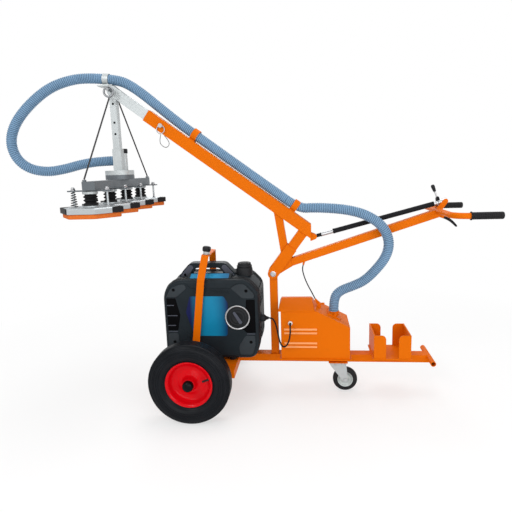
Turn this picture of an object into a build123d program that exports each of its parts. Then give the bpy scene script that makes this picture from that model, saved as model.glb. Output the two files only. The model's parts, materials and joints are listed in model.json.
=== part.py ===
from build123d import *

import math
import os

# Vacuum tile lifter: a wheeled trolley with a pivoting boom, a suction head, a blower box and a generator.
# Millimetres. X runs from the suction head to the hand grips, Y across, Z up from the floor.
# Distances whose names end in _back are measured along X from the main axle towards the grips.

# Clearances
running_gap = 0.05
seat_gap = 0.1
part_gap = 0.3
side_gap = 0.4
slide_gap = 0.5
weld_lap = 1

# Road wheels
wheel_r = 200
tyre_w = 100
tread_w = 66
tyre_wall = 9
bead_h = 13
track = 734
rim_seat_r = 105
rim_seat_w = 64
rim_flange_r = 115
rim_flange_t = 4
rim_barrel_t = 7
rim_disc_t = 6
rim_disc_out = 8
hub_r = 28
hub_w = 84
bush_r = 16
spacer_r = 22
axle_r = 12.5
washer_t = 4
axle_end = 7

# Frame tubes and plates
beam_w = 60
beam_h = 40
beam_z = 172
tube_wall = 3
plate_t = 6
cross_beam_back = 168
frame_w = 514
arm_w = 40
frame_front_back = -160
tray_w = 370
tray_t = 3
hub_plate = 76
hub_plate_t = 8
rear_tube_back = 1194
rear_tube_z = 199
rear_tube_r = 13.5
rear_tube_w = 234
post_w = 40
post_wall = 4
pivot_back = 388
pivot_z = 654
post_over = 22
post_relief = 34
pivot_r = 8
pivot_head_r = 13
pivot_head_t = 8

# Caster
caster_back = 724
caster_trail = 38
caster_r = 65
caster_w = 34
caster_plate_l = 100
caster_plate_w = 84
king_r = 9
crown_r = 33
crown_t = 16
king_nut_r = 14
king_nut_t = 10
fork_leg_t = 4
fork_leg_gap = 22
fork_axle_r = 6
fork_eye_r = 14
fork_top_l = 84
caster_round = 8.5

# Block holder
holder_back = 994
holder_l = 198
holder_w = 206
holder_h = 124
channel_l = 61
channel_w = 200
channel_out = 6
channel_round = 22

# Blower box
blower_back = 427
blower_w = 216
blower_flat = 181
blower_l = 353
blower_h = 256
blower_low_h = 170
sheet_t = 2
shelf_over = 8
lid_l = 185
lid_w = 226
lid_lap = 12
lid_h = 46
lid_rim_h = 6
lid_draft_x = 14
lid_ridge_w = 26
louvre_back = 446
louvre_l = 164
louvre_h = 6
louvre_z = (282, 302, 356, 376)
motor_back = 520
motor_r = 62
motor_h = 138
shaft_r = 8
shaft_h = 64
impeller_r = 88
impeller_up = 6
impeller_h = 38
impeller_hub_r = 20
blade_t = 3
blades = 12
spigot_back = 703
spigot_z = 446
spigot_r = 28
spigot_stub = 26
spigot_flange_l = 72
spigot_flange_w = 116
spigot_bolt_y = 46
spigot_bolt_r = 8
spigot_bolt_h = 12
valve_back = 625
valve_z = 484
valve_pin_r = 4
valve_eye_r = 9
valve_w = 15
valve_ear_t = 4
valve_arm_l = 30
valve_arm_deg = 126.9
valve_tail_l = 26

# Generator
generator_back = 70.5
generator_l = 495
generator_w = 290
generator_z = 232
generator_h = 418
generator_wall = 14
generator_bevel = 16
case_toe_l = 25
case_toe_h = 38
case_face_drop = 80
case_brow_l = 30
case_brow_drop = 22
case_crown_l = 84
case_back_l = 60
case_back_drop = 62
case_heel_l = 28
case_heel_h = 68
feet_back = 25
foot_r = 18
foot_x = 145
foot_y = 110
carry_back = 40
carry_l = 310
carry_w = 56
carry_top = 714
carry_slope = 62
carry_root = 20
grip_l = 150
grip_gap_z = 662
grip_gap_h = 28
cap_back = 234
cap_r = 40
cap_h = 24
cap_t = 8
neck_r = 28
neck_shoulder_r = 38
recoil_back = 209
recoil_z = 455
recoil_r = 65
recoil_t = 8
recoil_boss_r = 21.5
recoil_boss_t = 8
vent_w = 190
vent_h = 8
vents = 6
vent_pitch = 26
engine_l = 180
engine_w = 160
engine_h = 174
dynamo_r = 74
dynamo_l = 96

# Hold-down hoop
hoop_back = -20
hoop_z = 238
hoop_lean = 7
hoop_bar_w = 37
hoop_bar_t = 6
hoop_w = 336
hoop_leg = 420
hoop_top_w = 196
hoop_h = 536
hoop_pin_r = 6
lug_t = 6
knob_y = -65
knob_stud_r = 5
knob_stud_l = 12
knob_collar_r = 17
knob_collar_h = 16
knob_r = 22
knob_h = 26

# Boom, in its own plane: along the tube from the pivot, and square to it
boom_deg = 36.5
boom_w = 60
boom_wall = 4.5
boom_rise = 295
boom_l = 997
boom_tail = 201
riser_w = 50
riser_wall = 4
riser_start = 142
cheek_t = 6
cheek_r = 28
cheek_l = 170
web_start = 40
brace_w = 40
brace_start = 142
strut_lug_in = 10
strut_lug_r = 14
strut_lug_foot = 42
strut_pin_r = 5
strut_foot_back = 604
strut_foot_z = 845
extension_wall = 3
extension_start = 700
extension_end = 1140
mast_along = 1211
tip_r = 26
tip_cheek_in = 18.5
tip_lap = 40
lock_in = 92
lock_r = 6
lock_reach = 8
lock_head_r = 11
lock_head_t = 12
lock_ring_r = 20
lock_ring_wire = 2.5
clip_along = (112, 737)
clip_w = 32
clip_wall = 2
clip_slack = 3
clip_foot_t = 5
hose_lift = 28.5
platform_l = 78
platform_w = 60
platform_t = 5
platform_up = 29.5
platform_over = 8
strap_w = 30
strap_t = 2
strap_deg = 6.5
strap_out = 30
strap_up = 60.8
strap_lead = 30

# Handle, in its own plane: along the bar from the pivot, and square to it
handle_deg = 18.1
handle_w = 40
handle_rise = 26.4
handle_start = 40
handle_l = 885
fork_t = 4.6
fork_r = 18
fork_l = 110
yoke_in = 2.3
yoke_up = 38.7
yoke_r = 14
yoke_w = 576
yoke_bend = 65
hand_grip_out = 69
hand_grip_l = 140
grip_r = 16.5
grip_cap = 8
strut_head_out = 35
strut_head_up = 47
ear_t = 5
strut_ear_r = 12
strut_head_pin_r = 6
lever_out = 25
lever_drop = 29
lever_pin_r = 4
lever_eye_r = 9
lever_tip_r = 7
lever_l = 86
lever_deg = -33.7
lever_w = 9.2

# Telescopic strut, measured from its foot
strut_eye_r = 13
strut_eye_slack = 4.2
strut_rod_r = 10
strut_neck_r = 8.5
strut_neck_l = 36
strut_rod_l = 420
strut_tube_r = 12.5
strut_tube_start = 100
strut_head_r = 13.5
strut_head_l = 54
strut_head_over = 10
strut_bore_in = 69.2
strut_ear_back = 31.2
strut_ear_up = 24
strut_ear_in = 5
strut_ear_w = 4
strut_lever_pin_r = 3
strut_lever_eye_r = 8
strut_lever_rod_r = 4
strut_lever_rod_l = 34
strut_lever_knob_r = 9
strut_lever_knob_l = 37
strut_lever_deg = 112

# Suction head
mast_w = 35
mast_wall = 3
mast_end_z = 1213
mast_hole_r = 6
mast_hole_z = (1398, 1455, 1548)
mast_pin_l = 156
ring_r = 24
ring_wire = 5
ring_y = 62
sleeve_w = 45
sleeve_h = 110
disc_r = 74
disc_t = 23
kingpin_r = 9
kingpin_nut_r = 12
kingpin_nut_h = 12
pipe_dx = 14
pipe_y = 46
pipe_r = 16
pipe_wall = 3
pipe_h = 91
duct_r = 12
pipe_cap_r = 18
pipe_cap_h = 20
port_z = 1265
port_back = 26
port_collar_r = 27
port_collar_t = 6
port_stub = 22
head_beam_l = 775
rope_r = 4
rope_y = 378
rope_x = 20
rope_lug_r = 9
rope_lug_h = 8
bracket_l = 204
bracket_w = 36
pads = 4
pad_pitch = 226
pad_shift = 16
pad_half_l = 150
pad_half_w = 112
pad_corner = 65
pad_z = 1024
pad_t = 26
pad_pocket = 16
pad_edge = 4
bumper_start = 118
bumper_proud = 3
bumper_wing = 0.95
seal_t = 22
seal_inset = 4
seal_w = 30
rod_x = 82
rod_r = 5
rod_nut_r = 9
rod_nut_h = 9
rod_dome_r = 7
rod_dome_h = 5
pad_foot_r = 38
pad_foot_h = 6
pad_port_r = 10
bellows_r = 33
bellows_neck_r = 25
bellows_bore_r = 15
bellows_folds = 3
bellows_collar = 8
spring_wire_r = 1.4
spring_low_r = 15
spring_top_r = 9
spring_turns = 6

# Hose and cords
hose_r = 25.5
hose_groove = 2
hose_bore_r = 20
hose_pitch = 18.6
hose_join_along = 168
cord_r = 4
plug_r = 17
plug_l = 42
plug_body_l = 25
plug_nose_r = 8
plug_y = -60
plug_z = 424
gland_back = 476
gland_z = 412
gland_r = 11
gland_l = 14
cable_r = 3
cable_stop_r = 5
cable_stop_lean = 5
cable_stop_drop = 17
cable_along = 174
cable_y = -10
lanyard_r = 1.5
lanyard_reach = 39
lanyard_y = -18

# Directions and shared places
boom_cos = math.cos(math.radians(boom_deg))
boom_sin = math.sin(math.radians(boom_deg))
handle_cos = math.cos(math.radians(handle_deg))
handle_sin = math.sin(math.radians(handle_deg))
mast_back = pivot_back - mast_along * boom_cos + boom_rise * boom_sin
mast_z = pivot_z + mast_along * boom_sin + boom_rise * boom_cos
head_reach = mast_back - pad_shift - pad_half_l - bumper_proud
yoke_along = handle_l - yoke_in
yoke_back = pivot_back + yoke_along * handle_cos - yoke_up * handle_sin
yoke_z = pivot_z + yoke_along * handle_sin + yoke_up * handle_cos
grip_back = yoke_back + hand_grip_out
grip_end_back = grip_back + hand_grip_l
axle_x = -(grip_end_back + head_reach) / 2
axle_z = wheel_r
across = Vector(0, 1, 0)
upward = Vector(0, 0, 1)
beam_top = beam_z + beam_h
beam_half = beam_w / 2
pivot_x = axle_x + pivot_back
mast_x = axle_x + mast_back
pivot = Vector(pivot_x, 0, pivot_z)
mast_pivot = Vector(mast_x, 0, mast_z)
strut_foot = Vector(axle_x + strut_foot_back, 0, strut_foot_z)
strut_head = Vector(axle_x + yoke_back + strut_head_out, 0, yoke_z + strut_head_up)
strut_dir = (strut_head - strut_foot).normalized()
strut_up = strut_dir.cross(across)
boom_plane = Plane(origin=pivot, x_dir=(-boom_cos, 0, boom_sin), z_dir=across)
handle_plane = Plane(origin=pivot, x_dir=(handle_cos, 0, handle_sin), z_dir=-across)
side_plane = Plane.XZ
cross_x = (axle_x + cross_beam_back - beam_half, axle_x + cross_beam_back + beam_half)
shelf_top = beam_top + plate_t
disc_top = mast_end_z
disc_split = disc_top - disc_t
disc_low = disc_split - part_gap - disc_t
head_beam_z = disc_low - beam_h
bracket_z = head_beam_z - plate_t
pad_top = pad_z + pad_t
pad_x = mast_x - pad_shift
lock_along = boom_l - lock_in
pad_ys = [(i - (pads - 1) / 2) * pad_pitch for i in range(pads)]
hose_axis = boom_rise + boom_w / 2 + hose_lift


def low_high(a, b):
    return (min(a, b), max(a, b))


def span(middle, half):
    return (middle - half, middle + half)


def boom_point(along, up, y=0):
    return boom_plane.from_local_coords(Vector(along, up, y))


def block(x, y, z, mode=Mode.ADD):
    # box between two corners, each given as a (low, high) pair
    with BuildSketch(Plane.XY.offset(z[0])) as outline:
        with Locations(((x[0] + x[1]) / 2, (y[0] + y[1]) / 2)):
            Rectangle(x[1] - x[0], y[1] - y[0])
    extrude(outline.sketch, amount=z[1] - z[0], mode=mode)


def slab(plane, points, half, mode=Mode.ADD):
    # outline drawn on a plane and thickened by half to each side
    with BuildSketch(plane) as outline:
        with BuildLine():
            Polyline(*points, close=True)
        make_face()
    extrude(outline.sketch, amount=half, both=True, mode=mode)


def corners(u, v):
    return [(u[0], v[0]), (u[1], v[0]), (u[1], v[1]), (u[0], v[1])]


def rod(start, end, radius, mode=Mode.ADD):
    axis = Vector(end) - Vector(start)
    with BuildSketch(Plane(origin=start, z_dir=axis)) as section:
        Circle(radius)
    extrude(section.sketch, amount=axis.length, mode=mode)


def pipe(start, end, outer, inner):
    axis = Vector(end) - Vector(start)
    with BuildSketch(Plane(origin=start, z_dir=axis)) as section:
        Circle(outer)
        Circle(inner, mode=Mode.SUBTRACT)
    extrude(section.sketch, amount=axis.length)


def cross_rod(centre, half, radius, mode=Mode.ADD):
    # round bar or hole across the machine
    rod(Vector(centre) - across * half, Vector(centre) + across * half, radius, mode)


def twin_plates(outline, inner, thickness):
    # one outline, thickened on both sides of the middle plane
    for side in (-1, 1):
        extrude(outline.moved(Location(across * side * inner)), amount=thickness, dir=across * side)


def arm_outline(plane, start, start_r, end, end_r):
    # flat arm with two round ends, in the plane's own coordinates
    with BuildSketch(plane) as outline:
        with Locations(start):
            Circle(start_r)
        with Locations(end):
            Circle(end_r)
        make_hull()
    return outline.sketch


def side_point(place):
    return (place.X, place.Z)


def save(part, name):
    part.label = name
    export_step(part, f"parts/{name}.step")


def corner_radii(name, points):
    # the largest arcs that the runs between the points allow
    radii = []
    for before, here, after in zip(points, points[1:], points[2:]):
        first = here - before
        second = after - here
        turn = math.radians(first.get_angle(second))
        radii.append(0.45 * min(first.length, second.length) / math.tan(turn / 2))
    print(name, "bend radii", [round(radius) for radius in radii])
    return radii


def cord_tube(name, points, radius):
    with BuildLine() as path:
        FilletPolyline(*points, radius=corner_radii(name, points))
    with BuildSketch(Plane(origin=points[0], z_dir=points[1] - points[0])) as section:
        Circle(radius)
    sweep(section.sketch, path=path.wires()[0])
    route = path.wires()[0]
    print(name, "length", round(route.length))
    print(name, "section times length", round(math.pi * radius**2 * route.length))


def ribbed_hose(name, points):
    with BuildLine() as path:
        FilletPolyline(*points, radius=corner_radii(name, points))
    route = path.wires()[0]
    ribs = round(route.length / hose_pitch)
    print(name, "length", round(route.length), "ribs", ribs)
    sections = []
    for i in range(4 * ribs + 1):
        place = route.position_at(i / (4 * ribs))
        heading = route.tangent_at(i / (4 * ribs))
        with BuildSketch(Plane(origin=place, x_dir=across.cross(heading), z_dir=heading)) as section:
            Circle(hose_r if i % 4 in (1, 2) else hose_r - hose_groove)
        sections.append(section.sketch)
    loft(sections, ruled=True)
    with BuildSketch(Plane(origin=points[0], z_dir=points[1] - points[0])) as bore:
        Circle(hose_bore_r)
    sweep(bore.sketch, path=route, mode=Mode.SUBTRACT)


def conical_spring(foot, height, low_r, top_r, turns, wire_r):
    # helix whose radius shrinks upwards, on pairs of tangent arcs of a quarter turn each
    steps = 4 * turns

    def place(i):
        angle = i * math.pi / 2
        radius = low_r + (top_r - low_r) * i / steps
        return Vector(radius * math.cos(angle), radius * math.sin(angle), height * i / steps) + foot

    def heading(i):
        angle = i * math.pi / 2
        radius = low_r + (top_r - low_r) * i / steps
        shrink = (top_r - low_r) / steps / (math.pi / 2)
        climb = height / steps / (math.pi / 2)
        return Vector(shrink * math.cos(angle) - radius * math.sin(angle),
                      shrink * math.sin(angle) + radius * math.cos(angle), climb).normalized()

    with BuildLine() as path:
        for i in range(steps):
            first, last = place(i), place(i + 1)
            leave, arrive = heading(i), heading(i + 1)
            gap = last - first
            both = leave + arrive
            square = 2 * (1 - leave.dot(arrive))
            reach = (-gap.dot(both) + math.sqrt(gap.dot(both) ** 2 + square * gap.dot(gap))) / square
            middle = (first + last + (leave - arrive) * reach) / 2
            TangentArc(first, middle, tangent=leave)
            TangentArc(middle, last, tangent=-arrive, tangent_from_first=False)
    with BuildSketch(Plane(origin=place(0), z_dir=heading(0))) as wire:
        Circle(wire_r)
    sweep(wire.sketch, path=path.wires()[0])
    turn_points = [path.wires()[0].position_at(i / (16 * turns)) for i in range(16 * turns + 1)]
    gaps = [(a - b).length - 2 * wire_r for a, b in zip(turn_points, turn_points[12:])]
    return min(gaps)


os.makedirs("parts", exist_ok=True)

# Road wheels: tyre casing open to the rim, pressed rim with disc and hub
for side, sign in (("left", -1), ("right", 1)):
    wheel_centre = Vector(axle_x, sign * track / 2, axle_z)
    wheel_plane = Plane(origin=wheel_centre, x_dir=across, z_dir=(1, 0, 0))
    bead = rim_seat_w / 2 - part_gap
    bulge = tyre_w / 2
    bead_in = bead - tyre_wall
    bulge_r = (rim_seat_r + wheel_r) / 2
    with BuildPart() as tyre:
        with BuildSketch(wheel_plane) as casing:
            with BuildLine():
                Line((-bead, rim_seat_r), (-bead, rim_seat_r + bead_h))
                ThreePointArc((-bead, rim_seat_r + bead_h), (-bulge, bulge_r), (-tread_w / 2, wheel_r))
                Line((-tread_w / 2, wheel_r), (tread_w / 2, wheel_r))
                ThreePointArc((tread_w / 2, wheel_r), (bulge, bulge_r), (bead, rim_seat_r + bead_h))
                Line((bead, rim_seat_r + bead_h), (bead, rim_seat_r))
                Line((bead, rim_seat_r), (bead_in, rim_seat_r))
                Line((bead_in, rim_seat_r), (bead_in, rim_seat_r + bead_h))
                ThreePointArc((bead_in, rim_seat_r + bead_h), (bulge - tyre_wall, bulge_r),
                              (tread_w / 2 - tyre_wall, wheel_r - tyre_wall))
                Line((tread_w / 2 - tyre_wall, wheel_r - tyre_wall),
                     (tyre_wall - tread_w / 2, wheel_r - tyre_wall))
                ThreePointArc((tyre_wall - tread_w / 2, wheel_r - tyre_wall), (tyre_wall - bulge, bulge_r),
                              (-bead_in, rim_seat_r + bead_h))
                Line((-bead_in, rim_seat_r + bead_h), (-bead_in, rim_seat_r))
                Line((-bead_in, rim_seat_r), (-bead, rim_seat_r))
            make_face()
        revolve(casing.sketch, axis=Axis(wheel_centre, across))
    save(tyre.part, "tyre_" + side)

    barrel_r = rim_seat_r - seat_gap
    barrel_in = barrel_r - rim_barrel_t
    rim_half = rim_seat_w / 2 + rim_flange_t
    disc_y = sign * rim_disc_out
    with BuildPart() as rim:
        with BuildSketch(wheel_plane) as section:
            with Locations((0, (barrel_in + barrel_r) / 2)):
                Rectangle(2 * rim_half, rim_barrel_t)
            for flange_y in (-1, 1):
                with Locations((flange_y * (rim_half - rim_flange_t / 2), (barrel_in + rim_flange_r) / 2)):
                    Rectangle(rim_flange_t, rim_flange_r - barrel_in)
            with Locations((disc_y, (barrel_in + hub_r) / 2)):
                Rectangle(rim_disc_t, barrel_in - hub_r + 2 * weld_lap)
            with Locations((0, (hub_r + bush_r + running_gap) / 2)):
                Rectangle(hub_w, hub_r - bush_r - running_gap)
        revolve(section.sketch, axis=Axis(wheel_centre, across))
    save(rim.part, "rim_" + side)

# Bushes that the hubs turn on, and the washers that hold them
hub_in = track / 2 - hub_w / 2
hub_out = track / 2 + hub_w / 2
plate_face = frame_w / 2 + hub_plate_t
with BuildPart() as wheel_bushes:
    for sign in (-1, 1):
        axle = Vector(axle_x, 0, axle_z)
        bush_in = axle_r + seat_gap
        pipe(axle + across * sign * plate_face, axle + across * sign * (hub_in - part_gap), spacer_r, bush_in)
        pipe(axle + across * sign * (hub_in - part_gap), axle + across * sign * hub_out, bush_r, bush_in)
        washer_y = hub_out + part_gap
        pipe(axle + across * sign * washer_y, axle + across * sign * (washer_y + washer_t), spacer_r, bush_in)
save(wheel_bushes.part, "wheel_bushes")

# Axle frame: hollow cross-beam, side arms and front bar, tray, hub plates, stub axles and hoop lugs
front_x = axle_x + frame_front_back
frame_half = frame_w / 2
hoop_foot = Vector(axle_x + hoop_back, 0, hoop_z)
lug_y = hoop_w / 2 + side_gap
with BuildPart() as axle_frame:
    block(cross_x, (-frame_half, frame_half), (beam_z, beam_top))
    block((front_x, front_x + arm_w), (-frame_half, frame_half), (beam_z, beam_top))
    for sign in (-1, 1):
        arm_y = low_high(sign * frame_half, sign * (frame_half - arm_w))
        block((front_x, cross_x[0]), arm_y, (beam_z, beam_top))
    hollow_z = (beam_z + tube_wall, beam_top - tube_wall)
    hollow_y = frame_half - tube_wall
    block((cross_x[0] + tube_wall, cross_x[1] - tube_wall), (-hollow_y, hollow_y), hollow_z, Mode.SUBTRACT)
    block((front_x + tube_wall, front_x + arm_w - tube_wall), (-hollow_y, hollow_y), hollow_z, Mode.SUBTRACT)
    for sign in (-1, 1):
        arm_y = low_high(sign * hollow_y, sign * (frame_half - arm_w + tube_wall))
        block((front_x + tube_wall, cross_x[1] - tube_wall), arm_y, hollow_z, Mode.SUBTRACT)
    window = beam_half - 2 * tube_wall
    block((cross_x[1] - 2 * tube_wall, cross_x[1]), (-window, window),
          (beam_z + 2 * tube_wall, beam_top - 2 * tube_wall), Mode.SUBTRACT)
    block((front_x, cross_x[1]), (-tray_w / 2, tray_w / 2), (beam_top, beam_top + tray_t))
    for sign in (-1, 1):
        hub_plate_y = low_high(sign * frame_half, sign * plate_face)
        block((axle_x - hub_plate / 2, axle_x + hub_plate / 2), hub_plate_y,
              (axle_z - hub_plate / 2, axle_z + hub_plate / 2))
        axle = Vector(axle_x, 0, axle_z)
        rod(axle + across * sign * plate_face, axle + across * sign * (hub_out + washer_t + axle_end), axle_r)
        lug_span = low_high(sign * lug_y, sign * (lug_y + lug_t))
        block((hoop_foot.X - hoop_bar_w / 2, hoop_foot.X + hoop_bar_w / 2), lug_span,
              (beam_top + tray_t, hoop_z + hoop_bar_w / 2))
        pin_end = lug_y - hoop_bar_t - side_gap
        rod(hoop_foot + across * sign * lug_y, hoop_foot + across * sign * pin_end, hoop_pin_r)
save(axle_frame.part, "axle_frame")

# Main beam with the post, the blower shelf and the rear cross tube
rear_tube = Vector(axle_x + rear_tube_back, 0, rear_tube_z)
post_half = post_w / 2
post_in = post_half - post_wall
blower_x = axle_x + blower_back
blower_end = blower_x + blower_l
with BuildPart() as main_beam:
    block((cross_x[1], rear_tube.X), (-beam_half, beam_half), (beam_z, beam_top))
    block((cross_x[1], rear_tube.X - rear_tube_r), (tube_wall - beam_half, beam_half - tube_wall),
          (beam_z + tube_wall, beam_top - tube_wall), Mode.SUBTRACT)
    block(span(pivot_x, post_half), span(0, post_half), (beam_top, pivot_z - post_relief))
    post_top = pivot_z + post_over
    block(span(pivot_x, post_half), span(0, post_half - side_gap), (pivot_z - post_relief, post_top))
    block(span(pivot_x, post_in), span(0, post_in), (beam_top, post_top), Mode.SUBTRACT)
    cross_rod(pivot, post_half, pivot_r + running_gap, Mode.SUBTRACT)
    block((blower_x - shelf_over, blower_end + shelf_over), span(0, blower_w / 2 + shelf_over),
          (beam_top, shelf_top))
    cross_rod(rear_tube, rear_tube_w / 2, rear_tube_r)
    cross_rod(rear_tube, rear_tube_w / 2, rear_tube_r - tube_wall, Mode.SUBTRACT)
save(main_beam.part, "main_beam")

# Block holder: two channels that face each other on a plate
holder_x = axle_x + holder_back
with BuildPart() as block_holder:
    block(span(holder_x, holder_l / 2), span(0, holder_w / 2), (beam_top, shelf_top))
    for sign in (-1, 1):
        web_x = holder_x + sign * (holder_l / 2 - channel_out)
        free_x = web_x - sign * channel_l
        top_z = shelf_top + holder_h
        block(low_high(web_x, web_x - sign * plate_t), (-channel_w / 2, channel_w / 2), (shelf_top, top_z))
        with BuildSketch(side_plane) as flange:
            with BuildLine():
                Polyline((free_x, top_z - channel_round), (free_x, shelf_top), (web_x, shelf_top),
                         (web_x, top_z), (free_x + sign * channel_round, top_z))
                RadiusArc((free_x + sign * channel_round, top_z), (free_x, top_z - channel_round),
                          -sign * channel_round)
            make_face()
        twin_plates(flange.sketch, channel_w / 2 - plate_t, plate_t)
save(block_holder.part, "block_holder")

# Caster: plate with king pin and nut, fork, wheel
caster_x = axle_x + caster_back
caster_axle = Vector(caster_x + caster_trail, 0, caster_r)
plate_low = beam_z - plate_t
crown_top = plate_low - part_gap
crown_low = crown_top - crown_t
with BuildPart() as caster_plate:
    block(span(caster_x, caster_plate_l / 2), span(0, caster_plate_w / 2), (plate_low, beam_z))
    rod((caster_x, 0, plate_low), (caster_x, 0, crown_low - part_gap), king_r)
    rod((caster_x, 0, crown_low - part_gap), (caster_x, 0, crown_low - part_gap - king_nut_t), king_nut_r)
save(caster_plate.part, "caster_plate")

with BuildPart() as caster_fork:
    rod((caster_x, 0, crown_low), (caster_x, 0, crown_top), crown_r)
    rod((caster_x, 0, crown_low), (caster_x, 0, crown_top), king_r + running_gap, Mode.SUBTRACT)
    with BuildSketch(side_plane) as leg:
        with Locations(side_point(caster_axle)):
            Circle(fork_eye_r)
        with Locations((caster_x, crown_low + crown_t / 2)):
            Rectangle(fork_top_l, crown_t)
        make_hull()
    twin_plates(leg.sketch, fork_leg_gap, fork_leg_t)
    cross_rod(caster_axle, fork_leg_gap + fork_leg_t, fork_axle_r)
save(caster_fork.part, "caster_fork")

with BuildPart() as caster_wheel:
    cross_rod(caster_axle, caster_w / 2, caster_r)
    cross_rod(caster_axle, fork_leg_gap - part_gap, fork_eye_r)
    cross_rod(caster_axle, fork_leg_gap, fork_axle_r + running_gap, Mode.SUBTRACT)
    fillet(caster_wheel.edges().filter_by(GeomType.CIRCLE).sort_by(SortBy.RADIUS)[-2:], caster_round)
save(caster_wheel.part, "caster_wheel")

# Blower box: sheet housing with a sloped rear half, vents, spigot hole and valve ears
blower_half = blower_w / 2
slope_x = blower_x + blower_flat
flat_top = shelf_top + blower_h
low_top = shelf_top + blower_low_h
slope_dir = Vector(blower_end - slope_x, 0, low_top - flat_top).normalized()
slope_up = slope_dir.cross(across)
spigot_x = axle_x + spigot_back
slope_at_spigot = flat_top + (spigot_x - slope_x) * slope_dir.Z / slope_dir.X
valve = Vector(axle_x + valve_back, 0, valve_z)
with BuildPart() as blower_housing:
    shell = [(blower_x, shelf_top), (blower_end, shelf_top), (blower_end, low_top), (slope_x, flat_top),
             (blower_x, flat_top)]
    inside = [(blower_x + sheet_t, shelf_top), (blower_end - sheet_t, shelf_top),
              (blower_end - sheet_t, low_top - sheet_t), (slope_x - sheet_t / 2, flat_top - sheet_t),
              (blower_x + sheet_t, flat_top - sheet_t)]
    slab(side_plane, shell, blower_half)
    slab(side_plane, inside, blower_half - sheet_t, Mode.SUBTRACT)
    block((blower_x + lid_lap, slope_x - lid_lap), (lid_lap - blower_half, blower_half - lid_lap),
          (flat_top - sheet_t, flat_top), Mode.SUBTRACT)
    for slot_z in louvre_z:
        block((axle_x + louvre_back, axle_x + louvre_back + louvre_l), (-blower_half, blower_half),
              (slot_z - louvre_h / 2, slot_z + louvre_h / 2), Mode.SUBTRACT)
    rod((spigot_x, 0, low_top - sheet_t), (spigot_x, 0, flat_top), hose_bore_r, Mode.SUBTRACT)
    ear_foot = (valve.X, flat_top - 2 * valve_eye_r)
    ears = arm_outline(side_plane, side_point(valve), valve_eye_r, ear_foot, valve_eye_r)
    twin_plates(ears, valve_w / 2, valve_ear_t)
    slab(side_plane, inside, blower_half - sheet_t, Mode.SUBTRACT)
    cross_rod(valve, valve_w / 2 + valve_ear_t, valve_pin_r)
save(blower_housing.part, "blower_housing")

lid_x = (blower_x - lid_lap, blower_x - lid_lap + lid_l)
lid_half = lid_w / 2
lid_mid = (lid_x[0] + lid_x[1]) / 2
lid_rise = lid_h - lid_rim_h
lid_run = (lid_w - lid_ridge_w) / 2
lid_cut_t = sheet_t * math.hypot(lid_rise, lid_run) / lid_rise


def lid_form(wall_x, wall_y, top, mode):
    with BuildSketch(Plane.XY.offset(flat_top + lid_rim_h)) as low:
        with Locations((lid_mid, 0)):
            Rectangle(lid_l - 2 * wall_x, lid_w - 2 * wall_y)
    with BuildSketch(Plane.XY.offset(top)) as high:
        with Locations((lid_mid, 0)):
            Rectangle(lid_l - 2 * lid_draft_x - 2 * wall_x, lid_ridge_w - 2 * wall_y)
    loft([low.sketch, high.sketch], mode=mode)


with BuildPart() as blower_lid:
    block(lid_x, (-lid_half, lid_half), (flat_top, flat_top + lid_rim_h))
    lid_form(0, 0, flat_top + lid_h, Mode.ADD)
    lid_form(sheet_t, lid_cut_t, flat_top + lid_h - sheet_t, Mode.SUBTRACT)
    block((lid_x[0] + 2 * lid_lap, lid_x[1] - lid_lap), (2 * lid_lap - lid_half, lid_half - 2 * lid_lap),
          (flat_top, flat_top + lid_rim_h), Mode.SUBTRACT)
save(blower_lid.part, "blower_lid")

# Blower motor and its impeller
motor_x = axle_x + motor_back
motor_top = shelf_top + motor_h
with BuildPart() as blower_motor:
    rod((motor_x, 0, shelf_top), (motor_x, 0, motor_top), motor_r)
    rod((motor_x, 0, motor_top), (motor_x, 0, motor_top + shaft_h), shaft_r)
save(blower_motor.part, "blower_motor")

impeller_z = motor_top + impeller_up
with BuildPart() as blower_impeller:
    rod((motor_x, 0, impeller_z), (motor_x, 0, impeller_z + blade_t), impeller_r)
    rod((motor_x, 0, impeller_z), (motor_x, 0, impeller_z + impeller_h), impeller_hub_r)
    with BuildSketch(Plane(origin=(motor_x, 0, impeller_z))) as vanes:
        with PolarLocations((impeller_hub_r + impeller_r) / 2, blades):
            Rectangle(impeller_r - impeller_hub_r - blade_t, blade_t)
    extrude(vanes.sketch, amount=impeller_h)
    rod((motor_x, 0, impeller_z), (motor_x, 0, impeller_z + impeller_h), shaft_r + running_gap, Mode.SUBTRACT)
save(blower_impeller.part, "blower_impeller")

# Hose spigot on the sloped top, with its flange, bolts and the stub that the hose slides over
slope_plane = Plane(origin=(spigot_x, 0, slope_at_spigot), x_dir=slope_dir, z_dir=slope_up)
with BuildPart() as hose_spigot:
    rod((spigot_x, 0, low_top), (spigot_x, 0, spigot_z), spigot_r)
    rod((spigot_x, 0, low_top), (spigot_x, 0, spigot_z + spigot_stub), hose_bore_r - seat_gap)
    with BuildSketch(slope_plane) as flange:
        RectangleRounded(spigot_flange_l, spigot_flange_w, spigot_bolt_r)
    extrude(flange.sketch, amount=plate_t)
    with BuildSketch(slope_plane) as bolts:
        with Locations((0, -spigot_bolt_y), (0, spigot_bolt_y)):
            Circle(spigot_bolt_r)
    extrude(bolts.sketch, amount=plate_t + spigot_bolt_h)
    with BuildSketch(slope_plane) as under:
        Rectangle(4 * spigot_r, 4 * spigot_r)
    extrude(under.sketch, amount=-4 * spigot_r, mode=Mode.SUBTRACT)
    rod((spigot_x, 0, low_top), (spigot_x, 0, spigot_z + spigot_stub), hose_bore_r - tube_wall, Mode.SUBTRACT)
save(hose_spigot.part, "hose_spigot")

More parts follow.
